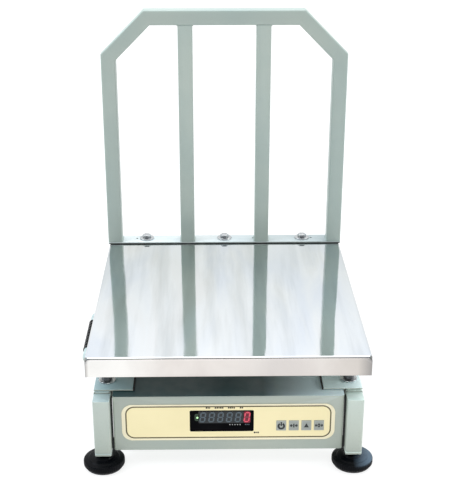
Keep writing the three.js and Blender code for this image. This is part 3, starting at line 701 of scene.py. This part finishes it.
def make_hoop(finish):
    """The bent and mitred guard tube, open at the two feet that are welded to the strip."""
    (_, _, bottom), (side, _, top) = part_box("guard_hoop")
    y = centre("guard_hoop")[1]
    tube = GUARD.tube

    def corners(inset):
        slant = inset * math.tan(math.pi / 8)
        bend = top - GUARD.chamfer - slant
        shoulder = side - GUARD.chamfer - slant
        right = [(side - inset, bottom), (side - inset, bend), (shoulder, top - inset)]
        return [(-x, z) for x, z in right] + [(x, z) for x, z in reversed(right)]

    def rings(wall, radius):
        section = rounded(tube / 2, 0, tube - 2 * wall, tube - 2 * wall, radius)
        paths = [corners(inset) for inset, _ in section]
        return [[(path[i][0], y + v, path[i][1]) for path, (_, v) in zip(paths, section)] for i in range(6)]

    bm = bmesh.new()
    outside = rings(0, GUARD.radius)
    inside = rings(GUARD.wall, GUARD.radius - GUARD.wall)
    bridge(bm, [*outside, *reversed(inside)], closed=True)
    mitres = [edge for edge in bm.edges if math.radians(30) < edge.calc_face_angle(0) < math.radians(50)]
    bevel(bm, mitres, 1.2 * MM, 2)
    add_piece("guard_hoop_tube", bm, finish, home("guard_hoop"), ["guard_hoop"])


WELD = metres(radius=1.1, pitch=1.1)
WELD_RIPPLE = 0.16


def weld(bm, start, end, radius=WELD.radius):
    """A rippled weld bead between two points."""
    start, end = Vector(start), Vector(end)
    count = max(3, round((end - start).length / (WELD.pitch / 2)))
    points = [start.lerp(end, i / count) for i in range(count + 1)]
    wander = [noise.noise(p * 900) for p in points]

    def bead(i):
        taper = 0.45 if i in (0, count) else 1.0
        return radius * taper * (1 + WELD_RIPPLE * (1 if i % 2 else -1) + 0.25 * wander[i])

    sweep(bm, points, bead, sides=8)


def make_guard_welds(finish):
    """Beads at the head and foot of both bars, and at the feet of the hoop."""
    inset = 2 * MM
    bm = bmesh.new()
    for name in SIDES:
        (left, front, foot), (right, back, head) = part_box(f"guard_bar_{name}")
        for edge in (left, right):
            weld(bm, (edge, front + inset, head), (edge, back - inset, head))
            weld(bm, (edge, front + inset, foot), (edge, back, foot))
        weld(bm, (left, back, foot), (right, back, foot))
        face = front + 0.35 * MM
        weld(bm, (left + inset, face, head), (right - inset, face, head), 0.6 * MM)
    (_, front, foot), (outer, back, _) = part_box("guard_hoop")
    for side in (-1, 1):
        inner = side * (outer - GUARD.tube)
        weld(bm, (inner, front + inset, foot), (inner, back, foot))
        weld(bm, (inner, back, foot), (side * (outer - inset), back, foot))
    add_piece("guard_weld_beads", bm, finish, "platform", sharp=70)


# A dark bead that is painted shade under the strip's front edge.
SHADE_BEAD = metres(radius=0.85, step=6)
SHADE_BEAD_RIPPLE = 0.25


def make_strip_shade_bead(finish):
    """A dark bead along the front foot of the strip, where it stands on the pan: painted shade for the
    shadow under the strip's front edge and its reflection in the pan.
    """
    low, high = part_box("guard_strip")
    end = high[0] - 1.5 * MM
    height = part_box("pan")[1][2] + 0.75 * MM
    path = [(x, low[1] - 0.35 * MM, height) for x in steps_between(-end, end, SHADE_BEAD.step)]

    def bead(i):
        return SHADE_BEAD.radius * (1 + SHADE_BEAD_RIPPLE * noise.noise(Vector(path[i]) * 90))

    bm = bmesh.new()
    sweep(bm, path, bead, sides=8)
    add_piece("guard_strip_shade_bead", bm, finish, home("guard_strip"))


SCREW = metres(lift=0.3, washer=1.8, collar=0.4, head=7.4, shank=4, pitch=1.25)


def make_guard_screws(finish):
    """Hexagon screws on large washers that hold the guard's strip to the platform."""
    strip_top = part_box("guard_strip")[1][2]
    washer_top = strip_top + SCREW.lift + SCREW.washer
    collar = [(SCREW.head, washer_top), (SCREW.head, washer_top + SCREW.collar)]
    for name in ("left", "middle", "right"):
        node = f"guard_screw_{name}"
        low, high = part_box(node)
        place = (*centre(node)[:2], 0)
        radius = (high[0] - low[0]) / 2
        bm = bmesh.new()
        turned(bm, rounded_profile(radius, strip_top + 0.1 * MM, washer_top, 0.5 * MM), place)
        turned(bm, collar, place)
        hexagon(bm, place, SCREW.head, washer_top + SCREW.collar, high[2])
        thread(bm, place, SCREW.shank, low[2], washer_top, SCREW.pitch)
        add_piece(f"{node}_set", bm, finish, home(node), [node], sharp=30)


# ---------- base ----------

LEG = metres(wall=1.6, radius=2.4, plate=4, seam=0.8, hole=5.6, edge=0.8)


def make_leg(corner, finish):
    """A square leg with a capped top and, below a welded seam, the end plate that holds the foot's stud."""
    node = f"leg_{corner}"
    low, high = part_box(node)
    x, y, _ = centre(node)
    bottom, top = low[2], high[2]

    def square(z, inset):
        width = high[0] - low[0] - 2 * inset
        outline = rounded(x, y, width, width, max(LEG.radius - inset, 0.5 * MM))
        return [(px, py, z) for px, py in outline]

    def hole(z):
        angles = [math.atan2(py - y, px - x) for px, py, _ in square(z, 0)]
        return [(x + LEG.hole * math.cos(a), y + LEG.hole * math.sin(a), z) for a in angles]

    plate_top, seam, edge = bottom + LEG.plate, LEG.seam, LEG.edge
    inside = [square(top - LEG.wall, LEG.wall), square(plate_top, LEG.wall), hole(plate_top), hole(bottom)]
    end_plate = [(bottom, edge / 2), (bottom + edge / 2, 0), (plate_top - seam, 0), (plate_top, seam)]
    tube = [(plate_top + 0.4 * seam, seam), (plate_top + 1.4 * seam, 0), (top - edge, 0)]
    rim = [(top - 0.25 * MM, 0.25 * MM), (top, edge)]
    bm = bmesh.new()
    bridge(bm, inside + [square(z, inset) for z, inset in (*end_plate, *tube, *rim)])
    add_piece(f"{node}_tube", bm, finish, home(node), [node])


STOP = metres(washer=2.1, nut=7.6, nut_height=8, shank=5, head=9, head_height=7)


def make_stop_bolt(corner, bright, dark):
    """An overload stop: a dark bolt and lock nut on a bright washer. The bolt stands for the CAD node. The
    nut's dark finish is partly painted shade, for the shade on its front face.
    """
    node = f"stop_bolt_{corner}"
    low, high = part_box(node)
    place = (*centre(node)[:2], 0)
    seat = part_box(f"corner_plate_{corner}")[1][2] + 0.1 * MM
    washer_top = seat + STOP.washer
    washer = bmesh.new()
    turned(washer, rounded_profile((high[0] - low[0]) / 2, seat, washer_top, 0.6 * MM), place)
    add_piece(f"{node}_washer", washer, bright, home(node), sharp=30)
    head_bottom = high[2] - STOP.head_height
    bolt = bmesh.new()
    hexagon(bolt, place, STOP.nut, washer_top, washer_top + STOP.nut_height)
    thread(bolt, place, STOP.shank, low[2], head_bottom)
    hexagon(bolt, place, STOP.head, head_bottom, high[2])
    add_piece(f"{node}_bolt", bolt, dark, home(node), [node], sharp=30)


def make_base_welds(finish):
    """Beads where the rails, the rear tube and the wide beam meet the legs and each other."""
    (inner, _, low_z), (outer, rail_end, high_z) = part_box("base_rail_right")
    (_, beam_front, _), (_, beam_back, _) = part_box("base_cell_beam")
    tube_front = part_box("base_rear_tube")[0][1]
    leg_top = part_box("leg_rear_right")[1][2] + 0.9 * MM
    edge = 2.4 * MM
    thin, thick, wide = 0.8 * MM, 1.2 * MM, 1.3 * MM
    beads = []

    def upright(x, y, radius):
        beads.append(((x, y, low_z + edge), (x, y, high_z - edge), radius))

    for end in (-1, 1):
        y, front = end * (rail_end + 0.15 * MM), end * (rail_end + 0.4 * MM)
        upright(outer - 0.3 * MM, y, thin)
        beads.append(((outer - edge, y, low_z), (inner + edge, y, low_z), thin))
        upright(inner, y, thin)
        beads.append(((outer - edge, front, leg_top), (inner + edge, front, leg_top), wide))
    for y in (beam_front, beam_back, tube_front):
        upright(inner, y, thick)
    beads.append(((inner, beam_front + edge, low_z), (inner, beam_back - edge, low_z), thick))
    bm = bmesh.new()
    for side in (-1, 1):
        for start, stop, radius in beads:
            weld(bm, (side * start[0], *start[1:]), (side * stop[0], *stop[1:]), radius)
    add_piece("base_weld_beads", bm, finish, "base", sharp=70)


# ---------- handles ----------

HANDLE = metres(bar=5.5, grip=7, grip_length=96, corner=16)
CORNER_STEPS = 12
GRIP = metres(groove=0.7, rim=1.2, plain=2.5)
GRIP_GROOVES = 9
GRIP_POINTS = 54
GRIP_END = 0.88


def make_handle(side, painted, plastic):
    """A painted bow welded to the side rail, with a ribbed black sleeve to hold it by."""
    node = f"handle_{side}"
    way = SIDES[side]
    low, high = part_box(node)
    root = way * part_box(f"base_rail_{side}")[1 if way > 0 else 0][0]
    reach = (high[0] if way > 0 else -low[0]) - root - HANDLE.grip
    _, y, z = centre(node)
    end = (high[1] - low[1]) / 2 - HANDLE.bar
    corner = HANDLE.corner
    near = arc(reach - corner, -(end - corner), corner, -90, 0, CORNER_STEPS)
    far = arc(reach - corner, end - corner, corner, 0, 90, CORNER_STEPS)
    line = [(0.1 * MM, -end), *near, *far, (0.1 * MM, end)]
    bm = bmesh.new()
    sweep(bm, [(way * (root + u), y + v, z) for u, v in line], lambda i: HANDLE.bar)
    for v in (-end, end):
        turned(bm, bead_outline(HANDLE.bar), (way * root, y + v, z), 24, axis=0)
    add_piece(f"{node}_bow", bm, painted, home(node), [node])
    grip = bmesh.new()
    turned(grip, grip_outline(), (way * (root + reach), y, z), 32, axis=1)
    add_piece(f"{node}_grip", grip, plastic, home(node))


def bead_outline(radius):
    """A weld fillet round a bar's foot, as (radius, height) points."""
    shape = ((0.4, -0.05), (1.45, 0.1), (1.3, 0.9), (0.9, 1.4), (0.4, 1.4))
    return [(share * radius, height * MM) for share, height in shape]


def grip_outline():
    """Half the grip's section along its length: swollen ends and shallow finger grooves."""
    half = HANDLE.grip_length / 2
    full = HANDLE.grip
    end = half - GRIP.plain
    points = [(HANDLE.bar, -half), (GRIP_END * full, -half), (full, GRIP.rim - half)]
    for i in range(1, GRIP_POINTS):
        share = i / GRIP_POINTS
        groove = 0.5 - 0.5 * math.cos(2 * math.pi * GRIP_GROOVES * share)
        points.append((full - GRIP.groove * groove, end * (2 * share - 1)))
    return [*points, (full, half - GRIP.rim), (GRIP_END * full, half), (HANDLE.bar, half)]


# ---------- levelling feet ----------

SOLE = metres(height=3, edge=0.8, flat=3, pin=4, tip=3.4, taper=0.4)
KNOB = metres(depth=0.7, top=18, stud=5)
KNOB_RIBS = 60
# The disc's section in millimetres, as radius or inset from the rim, height and share of the ribs' depth.
KNOB_BORE = ((4.3, 7.4), (4.3, 3.3))
KNOB_RIM = ((1.6, 3.3, 0), (0.4, 4.2, 0.6), (0, 5.2, 1), (0, 11.0, 1), (0.5, 12.2, 0.6), (1.6, 13.0, 0))
KNOB_FACE = ((23.4, 13.1), (22.6, 13.5), (22.0, 14.4), (21.2, 14.6))
KNOB_HUB = ((13.4, 14.7), (12.6, 15.2), (12.0, 17.4), (11.3, 18.0), (5.2, 18.0))


def make_foot(corner, plastic, soft, steel):
    """A rubber sole, the knurled disc that is turned by hand, and its threaded stud."""
    sole = f"foot_sole_{corner}"
    low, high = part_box(sole)
    x, y, _ = centre(sole)
    radius = (high[0] - low[0]) / 2
    pad = [
        (radius - SOLE.flat, 0.0),
        *rounded_profile(radius, 0.0, SOLE.height, SOLE.edge),
        (SOLE.pin, SOLE.height),
        (SOLE.pin, high[2] - SOLE.taper),
        (SOLE.tip, high[2]),
    ]
    bm = bmesh.new()
    turned(bm, pad, (x, y, 0), 64)
    add_piece(f"{sole}_pad", bm, soft, home(sole), [sole])
    knob = f"foot_knob_{corner}"
    low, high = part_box(knob)
    bm = bmesh.new()
    knurled(bm, (x, y), (high[0] - low[0]) / 2)
    add_piece(f"{knob}_disc", bm, plastic, home(knob), [knob], sharp=45)
    bm = bmesh.new()
    thread(bm, (x, y, 0), KNOB.stud, KNOB.top + 0.02 * MM, high[2])
    add_piece(f"{knob}_stud", bm, steel, home(knob), sharp=30)


def knurled(bm, middle, rim):
    """The stepped disc of a foot, its rim cut into ribs."""
    outline = [(r * MM, z, 0) for r, z in KNOB_BORE]
    outline += [(rim - inset * MM, z, ribbed) for inset, z, ribbed in KNOB_RIM]
    outline += [(r * MM, z, 0) for r, z in (*KNOB_FACE, *KNOB_HUB)]
    sides = KNOB_RIBS * 4
    loops = []
    for radius, z, ribbed in outline:
        loop = []
        for i in range(sides):
            angle = 2 * math.pi * i / sides
            groove = 0.5 - 0.5 * math.cos(KNOB_RIBS * angle)
            reach = radius - ribbed * KNOB.depth * groove
            loop.append((middle[0] + reach * math.cos(angle), middle[1] + reach * math.sin(angle), z * MM))
        loops.append(loop)
    bridge(bm, loops)


# ---------- indicator ----------

OVERLAY = metres(radius=15, rim=0.15, line=2.0, line_side=5.2, line_top=2.3, line_bottom=3.2, line_radius=13)
INKS = {"film": "pale_border", "field": "cream_field", "border_line": "brown_ink"}
PRINT = 0.05 * MM
KEY_HOLE = 0.3 * MM


def outline_of(node, grow=0.0, radius=2 * MM, steps=5):
    """The rounded outline of a CAD node seen from the front."""
    low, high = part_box(node)
    x, _, z = centre(node)
    return rounded(x, z, high[0] - low[0] + 2 * grow, high[2] - low[2] + 2 * grow, radius, steps)


def key_outline(name, grow=0.0, radius=0.6 * MM):
    """The outline of a key's cap, which is smaller than the key's flange."""
    return outline_of(f"key_{name}", grow - 1.3 * MM, radius, 3)


def make_overlay():
    """The printed film: a pale border, a cream field and a thin brown line between them."""
    low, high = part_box("panel_overlay")
    z = (low[2] + high[2]) / 2
    front = low[1]
    width, height = high[0] - low[0], high[2] - low[2]
    holes = [outline_of("display_window", KEY_HOLE), *(key_outline(name, KEY_HOLE) for name in KEYS)]
    outer = rounded(0.0, z, width, height, OVERLAY.radius, 12)
    line_width = width - 2 * OVERLAY.line_side
    line_height = height - OVERLAY.line_top - OVERLAY.line_bottom
    line_z = z + (OVERLAY.line_bottom - OVERLAY.line_top) / 2

    def line_edge(inset):
        size = (line_width - 2 * inset, line_height - 2 * inset)
        return rounded(0.0, line_z, *size, OVERLAY.line_radius - inset, 12)

    def printed(name, outlines, start, thickness, *more):
        finish = film(INKS[name])
        flat_print(f"panel_{name}", outlines, start, thickness, finish, "base", "overlay", *more)

    inside = line_edge(OVERLAY.line)
    printed("film", [outer, *holes], front, high[1] - front, ["panel_overlay"], OVERLAY.rim)
    printed("field", [inside, *holes], front - PRINT, 2 * PRINT)
    printed("border_line", [line_edge(0.0), inside], front - 1.3 * PRINT, 2 * PRINT)


def dashes(x, z, widths, height, gap):
    """A row of short marks that starts at x."""
    outlines = []
    for width in widths:
        outlines.append(rounded(x + width / 2, z, width, height, 0.3 * height, 2))
        x += width + gap
    return outlines


# In millimetres: where each caption over the window starts, and the widths of its marks.
CAPTIONS = (
    (22.7, (2.6, 1.6, 1.6)),
    (35.5, (2.6, 2.2, 1.6, 2.6, 2.2)),
    (54.5, (2.2, 2.8, 1.8, 2.2)),
    (71.4, (2.4, 2.2)),
)
UNDER_WINDOW = (2.6, 1.6, 2.4)


def make_panel_marks():
    """Plain marks in the places of the captions over and under the window."""
    low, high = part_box("display_window")
    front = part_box("panel_overlay")[0][1] - 2 * PRINT
    above = high[2] + 4.3 * MM
    rows = []
    for offset, widths in CAPTIONS:
        rows += dashes(low[0] + offset * MM, above, [w * MM for w in widths], 2.3 * MM, 0.4 * MM)
    below = [w * MM for w in UNDER_WINDOW]
    rows += dashes(high[0] + 0.3 * MM, low[2] - 2.5 * MM, below, 2.7 * MM, 0.5 * MM)
    flat_print("panel_caption_marks", rows, front, 2 * PRINT, film("caption_ink"), "base", "overlay")


DIGIT = metres(pitch=12.67, first=-36.8, z=80.8, width=8.6, height=16.5)
DIGITS = 6
STROKE = 2.0 * MM
SLANT = math.tan(math.radians(8))
SEGMENTS = {
    "top": (0, 1, "across"),
    "middle": (0, 0, "across"),
    "bottom": (0, -1, "across"),
    "upper_left": (-1, 0.5, "upright"),
    "upper_right": (1, 0.5, "upright"),
    "lower_left": (-1, -0.5, "upright"),
    "lower_right": (1, -0.5, "upright"),
}


def segment_outline(x, z, segment):
    """One pointed stroke of a seven-segment digit about (x, z), leaning to the right."""
    side, level, direction = SEGMENTS[segment]
    half_width = (DIGIT.width - STROKE) / 2
    half_height = (DIGIT.height - STROKE) / 2
    half = STROKE / 2
    length = (half_width if direction == "across" else half_height / 2) - 0.25 * MM
    flat = length - half
    shape = [(-length, 0), (-flat, half), (flat, half), (length, 0), (flat, -half), (-flat, -half)]
    if direction == "upright":
        shape = [(v, u) for u, v in shape]
    points = [(side * half_width + u, level * half_height + v) for u, v in shape]
    return [(x + u + SLANT * v, z + v) for u, v in points]


def digit_x(index):
    return DIGIT.first + index * DIGIT.pitch


def make_display():
    """The smoked window with five digits off, the last one showing 0, a pilot light and small flags."""
    node, slot = "display_window", "smoked_window"
    low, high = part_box(node)
    front = low[1] - 0.15 * MM
    depth = high[1] - front
    lens = smoked_acrylic()
    flat_print("display_lens", [outline_of(node)], front, depth, lens, "base", slot, [node], 0.3 * MM)

    def printed(name, outlines, finish, layer=1):
        flat_print(f"display_{name}", outlines, front - layer * PRINT, 2 * PRINT, finish, "base", slot)

    last = DIGITS - 1
    z = DIGIT.z
    last_x = digit_x(last)
    pilot_x = low[0] + 10.7 * MM
    glow_height = DIGIT.height + 3 * MM
    tint = rounded(digit_x((last - 1) / 2) + 1 * MM, z, last * DIGIT.pitch + 2 * MM, glow_height, 2 * MM)
    printed("tint_off", [tint], film("blue_tint"))
    # Painted glow: faint red round the lit digit and faint green round the pilot light.
    printed("painted_glow_lit", [rounded(last_x, z, 10 * MM, glow_height, 2.5 * MM)], glowing("red_painted_glow"))
    printed("painted_glow_pilot", [rounded(pilot_x - 0.7 * MM, z, 6.6 * MM, 12 * MM, 3 * MM)], glowing("green_painted_glow"))
    unlit = film("unlit_segments")
    off = [segment_outline(digit_x(i), z, name) for i in range(last) for name in SEGMENTS]
    lit = [segment_outline(last_x, z, name) for name in SEGMENTS if name != "middle"]
    printed("segments_off", off, unlit, 2)
    printed("segment_dim", [segment_outline(last_x, z, "middle")], film("dim_red"), 2)
    printed("segments_lit", lit, glowing("lit_segments"), 2)
    pilot = rounded(pilot_x, z - 0.5 * MM, 3 * MM, 3 * MM, 1.45 * MM, 6)
    printed("pilot_light", [pilot], glowing("green_pilot"), 2)
    flag_z = z - 12.3 * MM
    flags = dashes(low[0] + 56.6 * MM, flag_z, [1.5 * MM] * 5, 1.5 * MM, 2.2 * MM)
    printed("flags", flags, film("flag_print"))
    printed("flags_dim", dashes(low[0] + 79 * MM, flag_z, [1.8 * MM] * 3, 1.4 * MM, 0.6 * MM), unlit)


def arrow(tip, length, height, way):
    """A horizontal arrow on the x axis."""
    back = tip - way * length
    neck = tip - way * 0.55 * length
    thin = 0.27 * height
    upper = [(tip, 0), (neck, height / 2), (neck, thin), (back, thin)]
    return upper + [(u, -v) for u, v in reversed(upper[1:])]


def pictogram(name):
    """The outlines of a key's symbol about its middle, in millimetres."""
    if name == "power":
        open_ring = arc(0, -0.5, 3.9, 118, 422, 20) + arc(0, -0.5, 1.8, 422, 118, 20)
        return [[(1.3 * u, v) for u, v in open_ring], rounded(0, 1.9, 2.0, 4.6, 0.3, 2)]
    if name == "up":
        return [[(-3.3, -2.2), (3.3, -2.2), (0, 2.7)]]
    if name == "tare":
        return [*(arrow(-way * 1.3, 3.8, 4.2, way) for way in (1, -1)), rounded(0, 0, 1.8, 4.4, 0.2, 2)]
    zero = [rounded(0, 0, 3.8, 4.4, 1.8, 5), rounded(0, 0, 1.0, 1.9, 0.45, 5)]
    return [*(arrow(-way * 2.2, 3.0, 4.2, way) for way in (1, -1)), *zero]


SYMBOL_GROWTH = (1.1, 1.45)


def make_key(name, cap, rim, ink):
    """A key with soft edges, a paler printed rim and its symbol."""
    node = f"key_{name}"
    softened(node, cap, 0.45 * MM, shortest=8 * MM, name=f"{node}_cap")
    x, _, z = centre(node)
    wider, taller = SYMBOL_GROWTH
    edge = [key_outline(name, -0.5 * MM, 0.5 * MM), key_outline(name, -1.5 * MM, 0.5 * MM)]
    symbol = [[(x + wider * u * MM, z + taller * v * MM) for u, v in line] for line in pictogram(name)]
    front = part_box(node)[0][1] - 0.03 * MM
    for part, outlines, finish in (("rim", edge, rim), ("symbol", symbol, ink)):
        flat_print(f"{node}_{part}", outlines, front, 0.06 * MM, finish, home(node), "key_grey")


def make_cover_screws(finish):
    """The screws that hold the rear cover to the housing's flanges."""
    low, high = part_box("indicator_rear_cover")
    inset = 8 * MM
    dome = ((0.3, 0.0), (3.4, 0.0), (3.0, 1.1), (1.8, 1.8), (0.3, 2.0))
    bm = bmesh.new()
    for x in (low[0] + inset, 0.0, high[0] - inset):
        for z in (low[2] + inset, high[2] - inset):
            turned(bm, [(radius * MM, height * MM) for radius, height in dome], (x, high[1], z), 24, axis=1)
    add_piece("rear_cover_screws", bm, finish, "base", sharp=40)


PAD = metres(gap=0.15, liner=1.9, block=13, set_back=14)


def make_side_pads(finish):
    """The rubber liners on the front legs, each with a foot block that reaches the side of the box. Their
    black is also painted shade, darkening the gap between each front leg and the box.
    """
    leg_low, leg_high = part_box("leg_front_right")
    outer = leg_low[0] - PAD.gap
    y_low, y_high = leg_low[1] + PAD.set_back, leg_high[1] - 0.5 * MM
    bottom, top = leg_low[2] + 4.6 * MM, leg_high[2] - 4 * MM
    middle = bottom + PAD.block
    block = (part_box("indicator_housing")[1][0] + PAD.gap, bottom, middle)
    liner = (outer - PAD.liner, middle, top)
    for name, side in SIDES.items():
        bm = bmesh.new()
        for inner, low, high in (block, liner):
            x, y = side * (outer + inner) / 2, (y_low + y_high) / 2
            prism(bm, rounded(x, y, outer - inner, y_high - y_low, 0.8 * MM), low, high)
        add_piece(f"side_pad_{name}", bm, finish, "base")


def make_plate_seals(finish):
    """Dark strips on top of the box, along the inner ends of the two front corner plates."""
    width = 2.2 * MM
    box_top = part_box("indicator_housing")[1][2]
    for name, side in SIDES.items():
        plate = f"corner_plate_front_{name}"
        low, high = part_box(plate)
        x = side * (min(abs(low[0]), abs(high[0])) - width / 2 - 0.1 * MM)
        outline = rounded(x, centre(plate)[1], width, high[1] - low[1] - 1 * MM, 0.6 * MM)
        bm = bmesh.new()
        prism(bm, outline, box_top + 0.1 * MM, high[2] + 0.3 * MM)
        add_piece(f"plate_seal_{name}", bm, finish, "base")


GLAND = metres(hexagon=9, hexagon_depth=4, body=6, bore=2.9)


def make_gland(finish):
    """The gland's body inside the box, its hexagon and its cap with a rounded mouth."""
    node = "cable_gland"
    low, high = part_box(node)
    x, _, z = centre(node)
    place = (x, 0.0, z)
    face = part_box("indicator_rear_cover")[1][1] + 0.2 * MM
    bore, body = GLAND.bore, GLAND.body
    cap_start = face + GLAND.hexagon_depth
    mouth = [(1.06 * body, cap_start), (1.04 * body, high[1] - 1 * MM), (0.85 * body, high[1])]
    bm = bmesh.new()
    hexagon(bm, place, GLAND.hexagon, face, cap_start, axis=1)
    turned(bm, [(bore, low[1]), (body, low[1]), (body, face), (bore, face)], place, 32, axis=1)
    turned(bm, [(bore, cap_start), *mouth, (bore, high[1])], place, 32, axis=1)
    add_piece("cable_gland_body", bm, finish, home(node), [node], sharp=30)


SOCKET = metres(flange=9, barrel=6, bore=3.5, depth=11, pin=1.05, core=0.5)


def make_socket(plastic, metal):
    """The round charging socket in the rear cover, with its centre pin."""
    node = "charging_socket"
    low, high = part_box(node)
    x, _, z = centre(node)
    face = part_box("indicator_rear_cover")[1][1] + 0.1 * MM
    inner, end = low[1], high[1]
    floor = end - SOCKET.depth
    bore, core, flange, barrel = SOCKET.bore, SOCKET.core, SOCKET.flange, SOCKET.barrel
    mouth = [(core, floor), (bore, floor), (bore, end - 0.4 * MM), (bore + 0.4 * MM, end)]
    rim = [(flange - 1 * MM, end), (flange, end - 0.8 * MM), (flange, face)]
    bm = bmesh.new()
    turned(bm, [*mouth, *rim, (barrel, face), (barrel, inner), (core, inner)], (x, 0.0, z), 40, axis=1)
    add_piece("charging_socket_body", bm, plastic, home(node), [node], sharp=30)
    pin = bmesh.new()
    tip = [(SOCKET.pin, floor), (SOCKET.pin, end - 2.5 * MM), (core, end - 2 * MM)]
    turned(pin, tip, (x, 0.0, z), 20, axis=1)
    add_piece("charging_socket_pin", pin, metal, home(node))


# ---------- the whole scale ----------

def build_platform(painted, steel, soft):
    guard = paint("guard")
    make_pan(stainless())
    make_hoop(guard)
    make_guard_welds(guard)
    make_guard_screws(steel)
    softened("guard_strip", paint("strip"), 0.5 * MM)
    make_strip_shade_bead(soft)
    for name in SIDES:
        rolled_tube(f"guard_bar_{name}", guard, GUARD.radius)
        rolled_tube(f"spider_rail_{name}", painted)
    for node in ("spider_front_tube", "spider_rear_tube", "spider_cell_beam"):
        rolled_tube(node, painted)


def build_base(painted, steel, plastic, soft):
    dark = dark_steel()
    plate = paint("plate")
    for name in SIDES:
        rolled_tube(f"base_rail_{name}", painted)
        make_handle(name, painted, plastic)
    for node in ("base_rear_tube", "base_cell_beam"):
        rolled_tube(node, painted)
    make_base_welds(painted)
    for corner in CORNERS:
        make_leg(corner, painted)
        softened(f"corner_plate_{corner}", plate, 0.6 * MM)
        make_stop_bolt(corner, steel, dark)
        make_foot(corner, plastic, soft, steel)


def build_load_cell(steel, soft):
    softened("load_cell", aluminium(), 0.4 * MM, shortest=10 * MM)
    for side in ("upper", "lower"):
        softened(f"cell_spacer_{side}", steel, 0.4 * MM)
    for bolt in ("live_inner", "live_outer", "fixed_inner", "fixed_outer"):
        softened(f"cell_bolt_{bolt}", steel, 0.4 * MM, shortest=5 * MM)
    softened("load_cell_cable", soft, 0.1 * MM, shortest=1)


def build_indicator(painted, steel, plastic, soft):
    softened("indicator_housing", paint("box"), 0.9 * MM, 3, shortest=40 * MM)
    softened("indicator_rear_cover", painted, 0.35 * MM, shortest=40 * MM)
    make_cover_screws(steel)
    make_side_pads(soft)
    make_plate_seals(soft)
    make_overlay()
    make_panel_marks()
    make_display()
    cap, rim, ink = film("key_grey"), film("key_rim_grey"), film("key_ink")
    for name in KEYS:
        make_key(name, cap, rim, ink)
    softened("display_module", plastic, 0.5 * MM)
    softened("main_board", circuit_board(), 0.2 * MM, shortest=20 * MM)
    softened("battery", film("battery_case"), 2 * MM, 3)
    make_gland(plastic)
    make_socket(plastic, steel)


def build():
    painted = paint("base")
    steel = zinc()
    plastic = black_plastic()
    soft = rubber()
    build_platform(painted, steel, soft)
    build_base(painted, steel, plastic, soft)
    build_load_cell(steel, soft)
    build_indicator(painted, steel, plastic, soft)


# ---------- studio ----------

# Area lights: place, target, size, power and colour.
LIGHTS = {
    "left_light": ((-1.5, -0.35, 1.35), (0.0, -0.1, 0.1), (0.9, 0.9), 11, (0.80, 0.90, 1.0)),
    "right_light": ((1.8, -0.45, 0.55), (0.1, -0.2, 0.1), (0.7, 0.7), 9, (0.97, 0.985, 1.0)),
    "front_strip": ((0.1, -1.3, 0.07), (0.0, 0.0, 0.07), (1.2, 0.1), 2.6, (1.0, 0.99, 0.97)),
}


def make_studio():
    bpy.context.scene.view_settings.view_transform = "Standard"
    make_world()
    make_stage(pale_floor())
    for name, light in LIGHTS.items():
        area_light(name, *light)


make_camera()
build()
make_studio()
